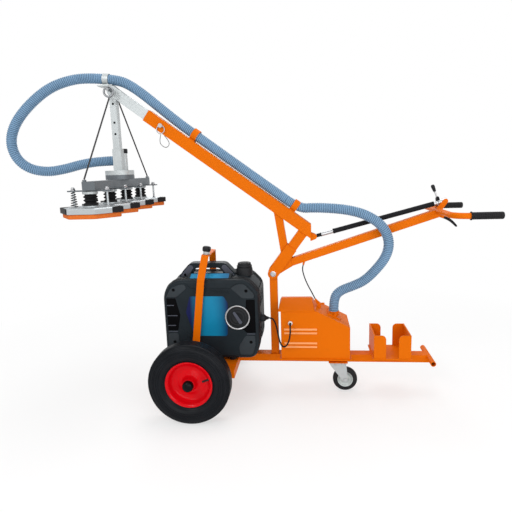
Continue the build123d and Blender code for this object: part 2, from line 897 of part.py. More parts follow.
# Valve arm: cable end up and to the front, flap end to the rear
valve_lean = math.radians(valve_arm_deg)
valve_tip = valve + Vector(math.cos(valve_lean), 0, math.sin(valve_lean)) * valve_arm_l
valve_tail = valve + Vector(valve_tail_l, 0, 0)
with BuildPart() as valve_arm:
    arm = arm_outline(side_plane, side_point(valve), valve_eye_r, side_point(valve_tip), valve_pin_r)
    extrude(arm, amount=valve_w / 2 - part_gap, both=True)
    tail = arm_outline(side_plane, side_point(valve), valve_pin_r, side_point(valve_tail), valve_pin_r)
    extrude(tail, amount=valve_w / 2 - part_gap, both=True)
    cross_rod(valve, valve_w, valve_pin_r + running_gap, Mode.SUBTRACT)
save(valve_arm.part, "valve_arm")

# Generator: hollow bevelled case with carry handle, filler neck, vents and feet
gen_x = (axle_x + generator_back - generator_l / 2, axle_x + generator_back + generator_l / 2)
gen_half = generator_w / 2
gen_top = generator_z + generator_h
case_outline = [(gen_x[0] + case_toe_l, generator_z), (gen_x[0], generator_z + case_toe_h),
                (gen_x[0], gen_top - case_face_drop), (gen_x[0] + case_brow_l, gen_top - case_brow_drop),
                (gen_x[0] + case_crown_l, gen_top), (gen_x[1] - case_back_l, gen_top),
                (gen_x[1], gen_top - case_back_drop), (gen_x[1], generator_z + case_heel_h),
                (gen_x[1] - case_heel_l, generator_z)]
cap_x = axle_x + cap_back
neck_top = carry_top - cap_h
carry_x = axle_x + carry_back
with BuildPart() as generator_case:
    slab(side_plane, case_outline, gen_half)
    chamfer(generator_case.faces().filter_by(Axis.Y).edges(), generator_bevel)
    carry_low = gen_top - carry_root
    carry_half = carry_l / 2
    carry = [(carry_x - carry_half, carry_low), (carry_x - carry_half + carry_slope, carry_top),
             (carry_x + carry_half - carry_slope, carry_top), (carry_x + carry_half, carry_low)]
    slab(side_plane, carry, carry_w / 2)
    grip_span = (carry_x - grip_l / 2, carry_x + grip_l / 2)
    slab(side_plane, corners(grip_span, (grip_gap_z, grip_gap_z + grip_gap_h)), carry_w, Mode.SUBTRACT)
    rod((cap_x, 0, gen_top - generator_wall), (cap_x, 0, neck_top - part_gap), neck_shoulder_r)
    rod((cap_x, 0, neck_top - weld_lap), (cap_x, 0, carry_top - cap_t), neck_r)
    with BuildSketch(side_plane) as cavity:
        with BuildLine():
            Polyline(*case_outline, close=True)
        make_face()
        offset(amount=-generator_wall, kind=Kind.INTERSECTION, mode=Mode.REPLACE)
    extrude(cavity.sketch, amount=gen_half - generator_wall / 2, both=True, mode=Mode.SUBTRACT)
    for i in range(vents):
        vent_z = generator_z + generator_h / 2 + (i - (vents - 1) / 2) * vent_pitch
        block((gen_x[0], gen_x[0] + 2 * generator_wall), (-vent_w / 2, vent_w / 2),
              (vent_z - vent_h / 2, vent_z + vent_h / 2), Mode.SUBTRACT)
    for foot_dx in (-foot_x, foot_x):
        for foot_dy in (-foot_y, foot_y):
            foot = Vector(axle_x + feet_back + foot_dx, foot_dy, beam_top + tray_t)
            rod(foot, (foot.X, foot.Y, generator_z + weld_lap), foot_r)
save(generator_case.part, "generator_case")

with BuildPart() as generator_fuel_cap:
    rod((cap_x, 0, neck_top), (cap_x, 0, carry_top), cap_r)
    rod((cap_x, 0, neck_top), (cap_x, 0, carry_top - cap_t + part_gap), neck_r + running_gap, Mode.SUBTRACT)
save(generator_fuel_cap.part, "generator_fuel_cap")

recoil = Vector(axle_x + recoil_back, -gen_half, recoil_z)
with BuildPart() as generator_recoil_cover:
    rod(recoil, recoil - across * recoil_t, recoil_r)
    rod(recoil - across * recoil_t, recoil - across * (recoil_t + recoil_boss_t), recoil_boss_r)
save(generator_recoil_cover.part, "generator_recoil_cover")

engine_x = axle_x + generator_back
engine_z = generator_z + generator_wall
with BuildPart() as generator_engine:
    block((engine_x - engine_l / 2, engine_x + engine_l / 2), (-engine_w / 2, engine_w / 2),
          (engine_z, engine_z + engine_h))
    dynamo_z = engine_z + engine_h / 2
    rod((engine_x + engine_l / 2, 0, dynamo_z), (engine_x + engine_l / 2 + dynamo_l, 0, dynamo_z), dynamo_r)
save(generator_engine.part, "generator_engine")

# Hold-down hoop: one bent flat bar that leans over the generator, and its knob
lean = math.radians(hoop_lean)
hoop_up = Vector(math.sin(lean), 0, math.cos(lean))
hoop_plane = Plane(origin=hoop_foot, x_dir=across, z_dir=across.cross(hoop_up))
hoop_half = hoop_w / 2
hoop_top_half = hoop_top_w / 2
knob_seat = hoop_foot + across * knob_y + hoop_up * hoop_h
with BuildPart() as hold_down_hoop:
    with BuildSketch(hoop_plane) as arch:
        with BuildLine():
            Polyline((-hoop_half, -hoop_bar_w), (-hoop_half, hoop_leg), (-hoop_top_half, hoop_h),
                     (hoop_top_half, hoop_h), (hoop_half, hoop_leg), (hoop_half, -hoop_bar_w), close=True)
        make_face()
        offset(amount=-hoop_bar_t, kind=Kind.INTERSECTION, mode=Mode.SUBTRACT)
        with Locations((0, -hoop_bar_w / 2)):
            Rectangle(hoop_w, hoop_bar_w, mode=Mode.SUBTRACT)
    extrude(arch.sketch, amount=hoop_bar_w / 2, both=True)
    for sign in (-1, 1):
        eye_in = hoop_half - hoop_bar_t
        rod(hoop_foot + across * sign * eye_in, hoop_foot + across * sign * hoop_half, hoop_bar_w / 2)
    cross_rod(hoop_foot, hoop_half, hoop_pin_r + running_gap, Mode.SUBTRACT)
    rod(knob_seat - hoop_up * knob_stud_l, knob_seat + hoop_up * part_gap, knob_stud_r + running_gap,
        Mode.SUBTRACT)
save(hold_down_hoop.part, "hold_down_hoop")

with BuildPart() as hold_down_knob:
    collar_low = knob_seat + hoop_up * part_gap
    collar_top = collar_low + hoop_up * knob_collar_h
    rod(knob_seat - hoop_up * knob_stud_l, collar_low, knob_stud_r)
    rod(collar_low, collar_top, knob_collar_r)
    rod(collar_top, collar_top + hoop_up * knob_h, knob_r)
save(hold_down_knob.part, "hold_down_knob")

# Boom: square tube with a vertical tail, riser, pivot channel, brace and strut lugs
boom_half = boom_w / 2
boom_low = boom_rise - boom_half
boom_high = boom_rise + boom_half
bore_low = boom_low + boom_wall
bore_high = boom_high - boom_wall
riser_half = riser_w / 2
cheek_in = post_half + fork_t + side_gap
web_out = riser_half + cheek_t


def tail_along(up, back):
    # place along the tube where it meets an upright plane behind the pivot
    return (up * boom_sin - back) / boom_cos


def brace_outline(half, start, top):
    # side view of a brace at 45 degrees, between the web and the underside of the tube
    slant = half * math.sqrt(2)
    rise = brace_start - web_out
    return [(start, start + rise - slant), (start, start + rise + slant), (top - rise - slant, top),
            (top - rise + slant, top)]


with BuildPart() as boom:
    slab(boom_plane, [(tail_along(boom_low, boom_tail), boom_low), (boom_l, boom_low), (boom_l, boom_high),
                      (tail_along(boom_high, boom_tail), boom_high)], boom_half)
    slab(boom_plane, brace_outline(brace_w / 2, web_out - weld_lap, boom_low + weld_lap), brace_w / 2)
    slab(boom_plane, brace_outline(brace_w / 2 - tube_wall, web_out, boom_low + boom_wall),
         brace_w / 2 - tube_wall, Mode.SUBTRACT)
    end_back = boom_tail - boom_wall
    slab(boom_plane, [(tail_along(bore_low, end_back), bore_low), (boom_l, bore_low), (boom_l, bore_high),
                      (tail_along(bore_high, end_back), bore_high)], boom_half - boom_wall, Mode.SUBTRACT)
    slab(boom_plane, corners((-riser_half, riser_half), (riser_start, boom_low)), riser_half)
    riser_in = riser_half - riser_wall
    slab(boom_plane, corners((-riser_in, riser_in), (riser_start, boom_low)), riser_in, Mode.SUBTRACT)
    with BuildSketch(boom_plane) as cheek:
        Circle(cheek_r)
        with Locations(((web_out - cheek_r) / 2, cheek_l / 2)):
            Rectangle(web_out + cheek_r, cheek_l)
        Circle(pivot_r + seat_gap, mode=Mode.SUBTRACT)
    twin_plates(cheek.sketch, cheek_in, cheek_t)
    slab(boom_plane, corners((riser_half, web_out), (web_start, cheek_l)), cheek_in + cheek_t)
    with BuildSketch(side_plane) as lug:
        with Locations(side_point(strut_foot)):
            Circle(strut_lug_r)
        with Locations((pivot_x + boom_tail - boom_wall / 2, strut_foot.Z)):
            Rectangle(boom_wall, strut_lug_foot)
        make_hull()
    twin_plates(lug.sketch, strut_lug_in, plate_t)
    cross_rod(strut_foot, strut_lug_in + plate_t, strut_pin_r)
    cross_rod(boom_point(lock_along, boom_rise), boom_half, lock_r + running_gap, Mode.SUBTRACT)
save(boom.part, "boom")

bolt_out = cheek_in + cheek_t
with BuildPart() as pivot_bolt:
    cross_rod(pivot, bolt_out + pivot_head_t, pivot_r)
    for sign in (-1, 1):
        rod(pivot + across * sign * bolt_out, pivot + across * sign * (bolt_out + pivot_head_t), pivot_head_r)
save(pivot_bolt.part, "pivot_bolt")

# Boom extension: inner tube, tip cheeks, hose platform and strap
extension_half = boom_half - boom_wall - slide_gap
extension_in = extension_half - extension_wall
strap_rise = math.radians(strap_deg)
strap_axis = Vector(-math.cos(strap_rise), 0, math.sin(strap_rise))
strap_centre = Vector(mast_x - strap_out, 0, mast_z + strap_up)
platform_top = mast_z + platform_up
platform_end = mast_x + platform_over
with BuildPart() as boom_extension:
    slab(boom_plane, corners((extension_start, extension_end), span(boom_rise, extension_half)),
         extension_half)
    bore_along = (extension_start, extension_end - extension_wall)
    slab(boom_plane, corners(bore_along, span(boom_rise, extension_in)), extension_in, Mode.SUBTRACT)
    with BuildSketch(boom_plane) as tip:
        with Locations((mast_along, boom_rise)):
            Circle(tip_r)
        with Locations((extension_end - tip_lap / 2, boom_rise)):
            Rectangle(tip_lap, 2 * extension_in)
        make_hull()
        with Locations((mast_along, boom_rise)):
            Circle(pivot_r + running_gap, mode=Mode.SUBTRACT)
    twin_plates(tip.sketch, tip_cheek_in, plate_t)
    block((platform_end - platform_l, platform_end), (-platform_w / 2, platform_w / 2),
          (platform_top - platform_t, platform_top))
    for sign in (-1, 1):
        web_y = low_high(sign * tip_cheek_in, sign * (tip_cheek_in + plate_t))
        block((mast_x - tip_r / 2, mast_x + tip_r / 4), web_y, (mast_z + tip_r / 2, platform_top))
    block(span(strap_centre.X, strap_w / 2), span(0, strap_w / 2), (platform_top, strap_centre.Z - hose_r))
    strap_r = hose_r + slide_gap
    strap_end = strap_axis * (strap_w / 2)
    rod(strap_centre - strap_end * 2, strap_centre + strap_end * 2, strap_r, Mode.SUBTRACT)
    pipe(strap_centre - strap_end, strap_centre + strap_end, strap_r + strap_t, strap_r)
    cross_rod(boom_point(lock_along, boom_rise), boom_half, lock_r + running_gap, Mode.SUBTRACT)
save(boom_extension.part, "boom_extension")

# Locking pin with its pull ring
lock = boom_point(lock_along, boom_rise)
lock_head = lock - across * (boom_half + part_gap)
ring_centre = lock_head - across * (lock_head_t / 2) - upward * lock_ring_r
with BuildPart() as locking_pin:
    rod(lock + across * (boom_half + lock_reach), lock_head, lock_r)
    rod(lock_head, lock_head - across * lock_head_t, lock_head_r)
    with BuildSketch(Plane(origin=ring_centre + upward * lock_ring_r, z_dir=(1, 0, 0))) as wire:
        Circle(lock_ring_wire)
    revolve(wire.sketch, axis=Axis(ring_centre, across))
save(locking_pin.part, "locking_pin")

# Hose clips on the boom
clip_r = hose_r + clip_slack
clip_up = boom_high + clip_r + clip_wall
with BuildPart() as hose_clips:
    for along in clip_along:
        foot_up = (boom_high, boom_high + clip_foot_t)
        slab(boom_plane, corners(span(along, clip_w / 2), foot_up), boom_half - plate_t)
        start = boom_point(along - clip_w / 2, clip_up)
        end = boom_point(along + clip_w / 2, clip_up)
        rod(start, end, clip_r + clip_wall)
        rod(start, end, clip_r, Mode.SUBTRACT)
save(hose_clips.part, "hose_clips")

# Handle: bar with fork, cross yoke, strut ears and lever ears
handle_half = handle_w / 2
handle_v = (handle_rise - handle_half, handle_rise + handle_half)
handle_in = (handle_v[0] + tube_wall, handle_v[1] - tube_wall)
yoke_x = axle_x + yoke_back
grip_x = (axle_x + grip_back, axle_x + grip_end_back)
yoke_y = yoke_w / 2
lever = Vector(yoke_x + lever_out, 0, yoke_z - lever_drop)
lever_ear_in = lever_w / 2 + side_gap
strut_ear_gap = strut_head_r + slide_gap
cable_top = handle_plane.from_local_coords(Vector(cable_along, handle_v[0] + tube_wall / 2, -cable_y))
cable_stop = cable_top + Vector(-cable_stop_lean, 0, -cable_stop_drop)
cable_dir = (cable_stop - cable_top).normalized()
with BuildPart() as handle_bar:
    slab(handle_plane, corners((handle_start, handle_l), handle_v), handle_half)
    slab(handle_plane, corners((handle_start, handle_l - 2 * yoke_r), handle_in), handle_half - tube_wall,
         Mode.SUBTRACT)
    with BuildSketch(handle_plane) as fork:
        Circle(fork_r)
        with Locations(((handle_start + fork_l) / 2, handle_rise)):
            Rectangle(fork_l - handle_start, handle_w)
        make_hull()
        Circle(pivot_r + running_gap, mode=Mode.SUBTRACT)
    twin_plates(fork.sketch, handle_half, fork_t)
    yoke_end = grip_x[1] - grip_cap
    with BuildLine() as bend:
        FilletPolyline((yoke_end, -yoke_y, yoke_z), (yoke_x, -yoke_y, yoke_z), (yoke_x, yoke_y, yoke_z),
                       (yoke_end, yoke_y, yoke_z), radius=yoke_bend)
    with BuildSketch(Plane(origin=(yoke_end, -yoke_y, yoke_z), z_dir=(-1, 0, 0))) as section:
        Circle(yoke_r)
        Circle(yoke_r - tube_wall, mode=Mode.SUBTRACT)
    sweep(section.sketch, path=bend.wires()[0])
    strut_ears = arm_outline(side_plane, side_point(strut_head), strut_ear_r, (yoke_x, yoke_z), yoke_r)
    twin_plates(strut_ears, strut_ear_gap, ear_t)
    cross_rod(strut_head, strut_ear_gap + ear_t, strut_head_pin_r)
    ear_root = (yoke_x, yoke_z - yoke_r)
    lever_ears = arm_outline(side_plane, side_point(lever), lever_eye_r, ear_root, lever_eye_r)
    twin_plates(lever_ears, lever_ear_in, ear_t)
    cross_rod(lever, lever_ear_in + ear_t, lever_pin_r)
    rod(cable_top, cable_stop, cable_stop_r)
save(handle_bar.part, "handle_bar")

with BuildPart() as handle_grips:
    for sign in (-1, 1):
        grip_start = Vector(grip_x[0], sign * yoke_y, yoke_z)
        rod(grip_start, (grip_x[1], sign * yoke_y, yoke_z), grip_r)
        rod(grip_start, (yoke_end, sign * yoke_y, yoke_z), yoke_r + seat_gap, Mode.SUBTRACT)
save(handle_grips.part, "handle_grips")

lever_turn = math.radians(lever_deg)
lever_tip = lever + Vector(math.cos(lever_turn), 0, math.sin(lever_turn)) * lever_l
with BuildPart() as vacuum_lever:
    blade = arm_outline(side_plane, side_point(lever), lever_eye_r, side_point(lever_tip), lever_tip_r)
    extrude(blade, amount=lever_w / 2, both=True)
    cross_rod(lever, lever_w, lever_pin_r + running_gap, Mode.SUBTRACT)
save(vacuum_lever.part, "vacuum_lever")


# Telescopic strut between the boom and the handle
def strut_point(along, up=0):
    return strut_foot + strut_dir * along + strut_up * up


strut_l = (strut_head - strut_foot).length
strut_eye = strut_lug_in - part_gap
with BuildPart() as strut_rod:
    cross_rod(strut_foot, strut_eye, strut_eye_r)
    rod(strut_foot, strut_point(strut_neck_l), strut_neck_r)
    rod(strut_point(strut_neck_l), strut_point(strut_rod_l), strut_rod_r)
    cross_rod(strut_foot, strut_eye, strut_pin_r + strut_eye_slack, Mode.SUBTRACT)
save(strut_rod.part, "strut_rod")

strut_ear_along = strut_l - strut_ear_back
lever_ear = strut_point(strut_ear_along, strut_ear_up)
with BuildPart() as strut_cylinder:
    rod(strut_point(strut_tube_start), strut_point(strut_l - strut_head_l), strut_tube_r)
    rod(strut_point(strut_l - strut_head_l), strut_point(strut_l + strut_head_over), strut_head_r)
    with BuildSketch(side_plane) as ear:
        with Locations(side_point(lever_ear)):
            Circle(strut_lever_eye_r)
        with Locations(side_point(strut_point(strut_ear_along))):
            Circle(strut_lever_eye_r)
        make_hull()
    twin_plates(ear.sketch, strut_ear_in, strut_ear_w)
    cross_rod(lever_ear, strut_ear_in + strut_ear_w, strut_lever_pin_r)
    bore_end = strut_point(strut_l - strut_bore_in)
    rod(strut_point(strut_tube_start), bore_end, strut_rod_r + running_gap, Mode.SUBTRACT)
    cross_rod(strut_head, 2 * strut_head_r, strut_head_pin_r + running_gap, Mode.SUBTRACT)
save(strut_cylinder.part, "strut_cylinder")

lever_lean = math.radians(strut_lever_deg)
lever_axis = Vector(math.cos(lever_lean), 0, math.sin(lever_lean))
with BuildPart() as strut_lever:
    cross_rod(lever_ear, strut_ear_in - side_gap, strut_lever_eye_r)
    rod(lever_ear, lever_ear + lever_axis * strut_lever_rod_l, strut_lever_rod_r)
    rod(lever_ear + lever_axis * strut_lever_rod_l,
        lever_ear + lever_axis * (strut_lever_rod_l + strut_lever_knob_l), strut_lever_knob_r)
    cross_rod(lever_ear, strut_ear_in, strut_lever_pin_r + running_gap, Mode.SUBTRACT)
save(strut_lever.part, "strut_lever")

# Mast: square tube that hangs from the boom tip
mast_half = mast_w / 2
mast_in = mast_half - mast_wall
with BuildPart() as mast_tube:
    block(span(mast_x, mast_half), span(0, mast_half), (mast_end_z, mast_z))
    cross_rod(mast_pivot, mast_half, mast_half)
    block(span(mast_x, mast_in), span(0, mast_in), (mast_end_z, mast_z + pivot_r), Mode.SUBTRACT)
    cross_rod(mast_pivot, mast_half, pivot_r + seat_gap, Mode.SUBTRACT)
    for hole_z in mast_hole_z:
        cross_rod((mast_x, 0, hole_z), mast_half, mast_hole_r, Mode.SUBTRACT)
save(mast_tube.part, "mast_tube")

with BuildPart() as mast_pivot_pin:
    cross_rod(mast_pivot, mast_pin_l / 2, pivot_r)
    for sign in (-1, 1):
        ring_mid = mast_pivot + across * sign * ring_y + upward * (pivot_r + part_gap + ring_wire - ring_r)
        with BuildSketch(Plane(origin=ring_mid + upward * ring_r, z_dir=(1, 0, 0))) as wire:
            Circle(ring_wire)
        revolve(wire.sketch, axis=Axis(ring_mid, across))
save(mast_pivot_pin.part, "mast_pivot_pin")

# Mast sleeve with the top disc, the vacuum pipe and the hose port
pipe_foot = Vector(mast_x + pipe_dx, pipe_y, disc_split)
pipe_top = disc_top + pipe_h
port = Vector(mast_x - port_back, pipe_y, port_z)
port_dir = Vector(1, 0, 0)
sleeve_half = sleeve_w / 2
sleeve_in = mast_half + slide_gap
with BuildPart() as mast_sleeve:
    rod((mast_x, 0, disc_split), (mast_x, 0, disc_top), disc_r)
    block(span(mast_x, sleeve_half), span(0, sleeve_half), (disc_top, disc_top + sleeve_h))
    rod((pipe_foot.X, pipe_y, disc_top), (pipe_foot.X, pipe_y, pipe_top), pipe_r)
    rod((pipe_foot.X, pipe_y, pipe_top), (pipe_foot.X, pipe_y, pipe_top + pipe_cap_h), pipe_cap_r)
    port_start = port - port_dir * port_stub
    port_end = Vector(pipe_foot.X, pipe_y, port_z)
    rod(port_start, port_end, hose_bore_r - seat_gap)
    rod(port, port + port_dir * port_collar_t, port_collar_r)
    block(span(mast_x, sleeve_in), span(0, sleeve_in), (disc_top, disc_top + sleeve_h), Mode.SUBTRACT)
    rod(pipe_foot, (pipe_foot.X, pipe_y, pipe_top), pipe_r - pipe_wall, Mode.SUBTRACT)
    rod(port_start, port_end, pipe_r - 2 * pipe_wall, Mode.SUBTRACT)
    rod((mast_x, 0, disc_split), (mast_x, 0, disc_top), kingpin_r + running_gap, Mode.SUBTRACT)
save(mast_sleeve.part, "mast_sleeve")

# Crossbeam of the head: lower disc with king pin, closed tube as vacuum duct, pad brackets, rope lugs
head_half = head_beam_l / 2
with BuildPart() as crossbeam:
    block(span(mast_x, beam_half), span(0, head_half), (head_beam_z, disc_low))
    block(span(mast_x, beam_half - tube_wall), span(0, head_half - tube_wall),
          (head_beam_z + tube_wall, disc_low - tube_wall), Mode.SUBTRACT)
    rod((mast_x, 0, disc_low), (mast_x, 0, disc_low + disc_t), disc_r)
    rod((mast_x, 0, disc_low + disc_t), (mast_x, 0, disc_top + part_gap + kingpin_nut_h), kingpin_r)
    rod((mast_x, 0, disc_top + part_gap), (mast_x, 0, disc_top + part_gap + kingpin_nut_h), kingpin_nut_r)
    rod((pipe_foot.X, pipe_y, disc_low - tube_wall), (pipe_foot.X, pipe_y, disc_low + disc_t), duct_r,
        Mode.SUBTRACT)
    for sign in (-1, 1):
        lug_low = Vector(mast_x + sign * rope_x, sign * rope_y, disc_low)
        rod(lug_low, lug_low + upward * rope_lug_h, rope_lug_r)
    for pad_y in pad_ys:
        block(span(pad_x, bracket_l / 2), span(pad_y, bracket_w / 2), (bracket_z, head_beam_z))
        rod((pad_x, pad_y, bracket_z), (pad_x, pad_y, head_beam_z + tube_wall), pad_port_r, Mode.SUBTRACT)
        for rod_dx in (-rod_x, rod_x):
            guide_low = Vector(pad_x + rod_dx, pad_y, bracket_z)
            rod(guide_low, guide_low + upward * plate_t, rod_r + running_gap, Mode.SUBTRACT)
save(crossbeam.part, "crossbeam")

# Suction pads: six-sided plate with guide rods and acorn nuts, foam seal, end bumpers
bumper_half = pad_half_w * (pad_half_l - bumper_start) / (pad_half_l - pad_corner)
wing_end = Vector(pad_half_l - bumper_wing * (pad_half_l - pad_corner), bumper_wing * pad_half_w)
wing_out = Vector(pad_half_w, pad_half_l - pad_corner).normalized() * bumper_proud
wing_ends = [(wing_end.X, wing_end.Y), (wing_end.X + wing_out.X, wing_end.Y + wing_out.Y)]
hexagon = [(pad_half_l, 0), (pad_corner, pad_half_w), (-pad_corner, pad_half_w), (-pad_half_l, 0),
           (-pad_corner, -pad_half_w), (pad_corner, -pad_half_w)]
for number, pad_y in enumerate(pad_ys, start=1):
    with BuildPart() as pad_plate:
        with BuildSketch(Plane(origin=(pad_x, pad_y, pad_z))) as outline:
            with BuildLine():
                Polyline(*hexagon, close=True)
            make_face()
            Rectangle(2 * bumper_start, 2 * pad_half_w, mode=Mode.INTERSECT)
        extrude(outline.sketch, amount=pad_t)
        chamfer(pad_plate.faces().sort_by(Axis.Z)[-1].edges(), pad_edge)
        with BuildSketch(Plane(origin=(pad_x, pad_y, pad_z))) as pocket:
            with BuildLine():
                Polyline(*hexagon, close=True)
            make_face()
            offset(amount=-seal_inset - seal_w, kind=Kind.INTERSECTION, mode=Mode.REPLACE)
        extrude(pocket.sketch, amount=pad_pocket, mode=Mode.SUBTRACT)
        rod((pad_x, pad_y, pad_top), (pad_x, pad_y, pad_top + pad_foot_h), pad_foot_r)
        rod((pad_x, pad_y, pad_z), (pad_x, pad_y, pad_top + pad_foot_h), pad_port_r, Mode.SUBTRACT)
        for rod_dx in (-rod_x, rod_x):
            nut_z = head_beam_z + part_gap
            rod((pad_x + rod_dx, pad_y, pad_top), (pad_x + rod_dx, pad_y, nut_z), rod_r)
            rod((pad_x + rod_dx, pad_y, nut_z), (pad_x + rod_dx, pad_y, nut_z + rod_nut_h), rod_nut_r)
            rod((pad_x + rod_dx, pad_y, nut_z + rod_nut_h),
                (pad_x + rod_dx, pad_y, nut_z + rod_nut_h + rod_dome_h), rod_dome_r)
    save(pad_plate.part, f"pad_plate_{number}")

    with BuildPart() as pad_seal:
        with BuildSketch(Plane(origin=(pad_x, pad_y, pad_z - seal_t))) as foam:
            with BuildLine():
                Polyline(*hexagon, close=True)
            make_face()
            offset(amount=-seal_inset, kind=Kind.INTERSECTION, mode=Mode.REPLACE)
            offset(amount=-seal_w, kind=Kind.INTERSECTION, mode=Mode.SUBTRACT)
        extrude(foam.sketch, amount=seal_t)
    save(pad_seal.part, f"pad_seal_{number}")

    with BuildPart() as pad_bumpers:
        for sign, ends in ((-1, wing_ends), (1, [])):
            edge = [(bumper_start, bumper_half), *ends]
            if not ends:
                edge = [(bumper_start, bumper_half + bumper_proud)]
            edge.append((pad_half_l + bumper_proud, bumper_proud))
            with BuildSketch(Plane(origin=(pad_x, pad_y, pad_z))) as bumper:
                with BuildLine():
                    Polyline(*[(sign * x, -y) for x, y in edge], *[(sign * x, y) for x, y in reversed(edge)],
                             close=True)
                make_face()
            extrude(bumper.sketch, amount=pad_t)
    save(pad_bumpers.part, f"pad_bumpers_{number}")

# Bellows between the pads and the crossbeam, one above each pad
bellows_z = pad_top + pad_foot_h
fold_h = (bracket_z - bellows_z - 2 * bellows_collar) / bellows_folds
with BuildPart() as bellows:
    for pad_y in pad_ys:
        with BuildSketch(Plane(origin=(pad_x, pad_y, 0), x_dir=(1, 0, 0), z_dir=-across)) as wall:
            with BuildLine():
                ridge = [(bellows_bore_r, bellows_z), (bellows_r, bellows_z)]
                ridge += [(bellows_r, bellows_z + bellows_collar)]
                for fold in range(bellows_folds):
                    fold_z = bellows_z + bellows_collar + fold * fold_h
                    ridge += [(bellows_neck_r, fold_z + fold_h / 2), (bellows_r, fold_z + fold_h)]
                ridge += [(bellows_r, bracket_z), (bellows_bore_r, bracket_z)]
                Polyline(*ridge, close=True)
            make_face()
        revolve(wall.sketch, axis=Axis((pad_x, pad_y, 0), upward))
save(bellows.part, "bellows")

# Conical springs on the front guide rods
spring_clear = spring_wire_r + part_gap
spring_gaps = []
with BuildPart() as pad_springs:
    for pad_y in pad_ys:
        spring_foot = Vector(pad_x - rod_x, pad_y, pad_top + spring_clear)
        spring_gaps.append(conical_spring(spring_foot, bracket_z - pad_top - 2 * spring_clear, spring_low_r,
                                          spring_top_r, spring_turns, spring_wire_r))
print("springs, least gap between turns", round(min(spring_gaps), 2))
save(pad_springs.part, "pad_springs")


# Vacuum hose, in three lengths: blower to boom, along the boom, boom tip to the head
def place(back, y, z):
    return Vector(axle_x + back, y, z)


hose_join = boom_point(hose_join_along, hose_axis)
hose_end = strap_centre + strap_axis * strap_lead
rear_route = [Vector(spigot_x, 0, spigot_z), place(703, 0, 515), place(734, -6, 556), place(800, -18, 584),
              place(858, -30, 614), place(915, -44, 676), place(962, -58, 745), place(976, -68, 822),
              place(941, -73, 902), place(864, -68, 957), place(778, -52, 982), place(693, -30, 991),
              place(610, -8, 994), boom_point(90, hose_axis), hose_join]
boom_route = [hose_join, boom_point(770, hose_axis), place(-145, 0, 1498), place(-250, 0, 1588),
              place(-325, 0, 1642), strap_centre - strap_axis * 55, hose_end]
front_route = [hose_end, hose_end + strap_axis * 80, place(-635, -35, 1668), place(-715, -80, 1628),
               place(-801, -120, 1550), place(-872, -144, 1462), place(-905, -151, 1375),
               place(-893, -144, 1295), place(-845, -124, 1238), place(-765, -92, 1216),
               place(-685, -52, 1228), place(-610, -4, 1252), port - port_dir * 94, port]
with BuildPart() as hose_rear:
    ribbed_hose("hose_rear", rear_route)
save(hose_rear.part, "hose_rear")
with BuildPart() as hose_boom:
    ribbed_hose("hose_boom", boom_route)
save(hose_boom.part, "hose_boom")
with BuildPart() as hose_front:
    ribbed_hose("hose_front", front_route)
save(hose_front.part, "hose_front")

# Power cord between the generator and the blower, with its plug and gland
plug_face = Vector(gen_x[1], plug_y, plug_z)
plug_neck = plug_face + Vector(plug_body_l, 0, 0)
plug_end = plug_face + Vector(plug_l, 0, 0)
gland_face = Vector(axle_x + gland_back, -blower_half, gland_z)
gland_end = gland_face - across * gland_l
with BuildPart() as cord_fittings:
    rod(plug_face, plug_neck, plug_r)
    rod(plug_neck, plug_end, plug_nose_r)
    rod(gland_face, gland_end, gland_r)
save(cord_fittings.part, "cord_fittings")

cord_route = [plug_end, plug_end + Vector(18, 0, 0), place(395, -66, 404), place(407, -82, 360),
              place(417, -104, 316), place(432, -130, 291), place(454, -150, 300), place(470, -160, 334),
              place(477, -162, 374), place(477, -157, 401), gland_end - across * 20, gland_end]
with BuildPart() as power_cord:
    cord_tube("power_cord", cord_route, cord_r)
print("power_cord volume", round(power_cord.part.volume))
save(power_cord.part, "power_cord")

# Release cable from under the handle to the valve arm
cable_bend = place(588, -3, 548)
cable_end = valve_tip - (valve_tip - cable_bend).normalized() * (valve_pin_r + part_gap)
cable_route = [cable_stop + cable_dir * part_gap, cable_stop + cable_dir * 20, place(545, -9, 650),
               place(555, -8, 618), place(570, -6, 583), cable_bend, cable_end]
with BuildPart() as release_cable:
    cord_tube("release_cable", cable_route, cable_r)
print("release_cable volume", round(release_cable.part.volume))
save(release_cable.part, "release_cable")

# Lanyard that keeps the locking pin on the boom
lanyard_foot = boom_point(lock_along - lanyard_reach, boom_low - lanyard_r, lanyard_y)
lanyard_route = [ring_centre - upward * (lock_ring_r + lock_ring_wire + lanyard_r),
                 ring_centre + Vector(-8, -7.7, -59.5), ring_centre + Vector(4, -3.7, -81.5),
                 ring_centre + Vector(23, 2.3, -91.5), ring_centre + Vector(38, 8.3, -79.5),
                 ring_centre + Vector(37, 14.3, -57.5), lanyard_foot]
with BuildPart() as pin_lanyard:
    cord_tube("pin_lanyard", lanyard_route, lanyard_r)
print("pin_lanyard volume", round(pin_lanyard.part.volume))
save(pin_lanyard.part, "pin_lanyard")

# Stabiliser ropes from the mast rings to the ends of the crossbeam
ring_low = mast_z + pivot_r + part_gap + ring_wire - 2 * ring_r - ring_wire
with BuildPart() as stabiliser_ropes:
    for sign in (-1, 1):
        ring_point = Vector(mast_x, sign * ring_y, ring_low)
        lug_point = Vector(mast_x + sign * rope_x, sign * rope_y, disc_low + rope_lug_h)
        rope_lean = math.radians(upward.get_angle(ring_point - lug_point))
        rope_clear = upward * (part_gap + rope_r * math.sin(rope_lean))
        rod(lug_point + rope_clear, ring_point - rope_clear, rope_r)
save(stabiliser_ropes.part, "stabiliser_ropes")
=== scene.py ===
import json
import math

import bmesh
import bpy
from mathutils import Matrix, Vector


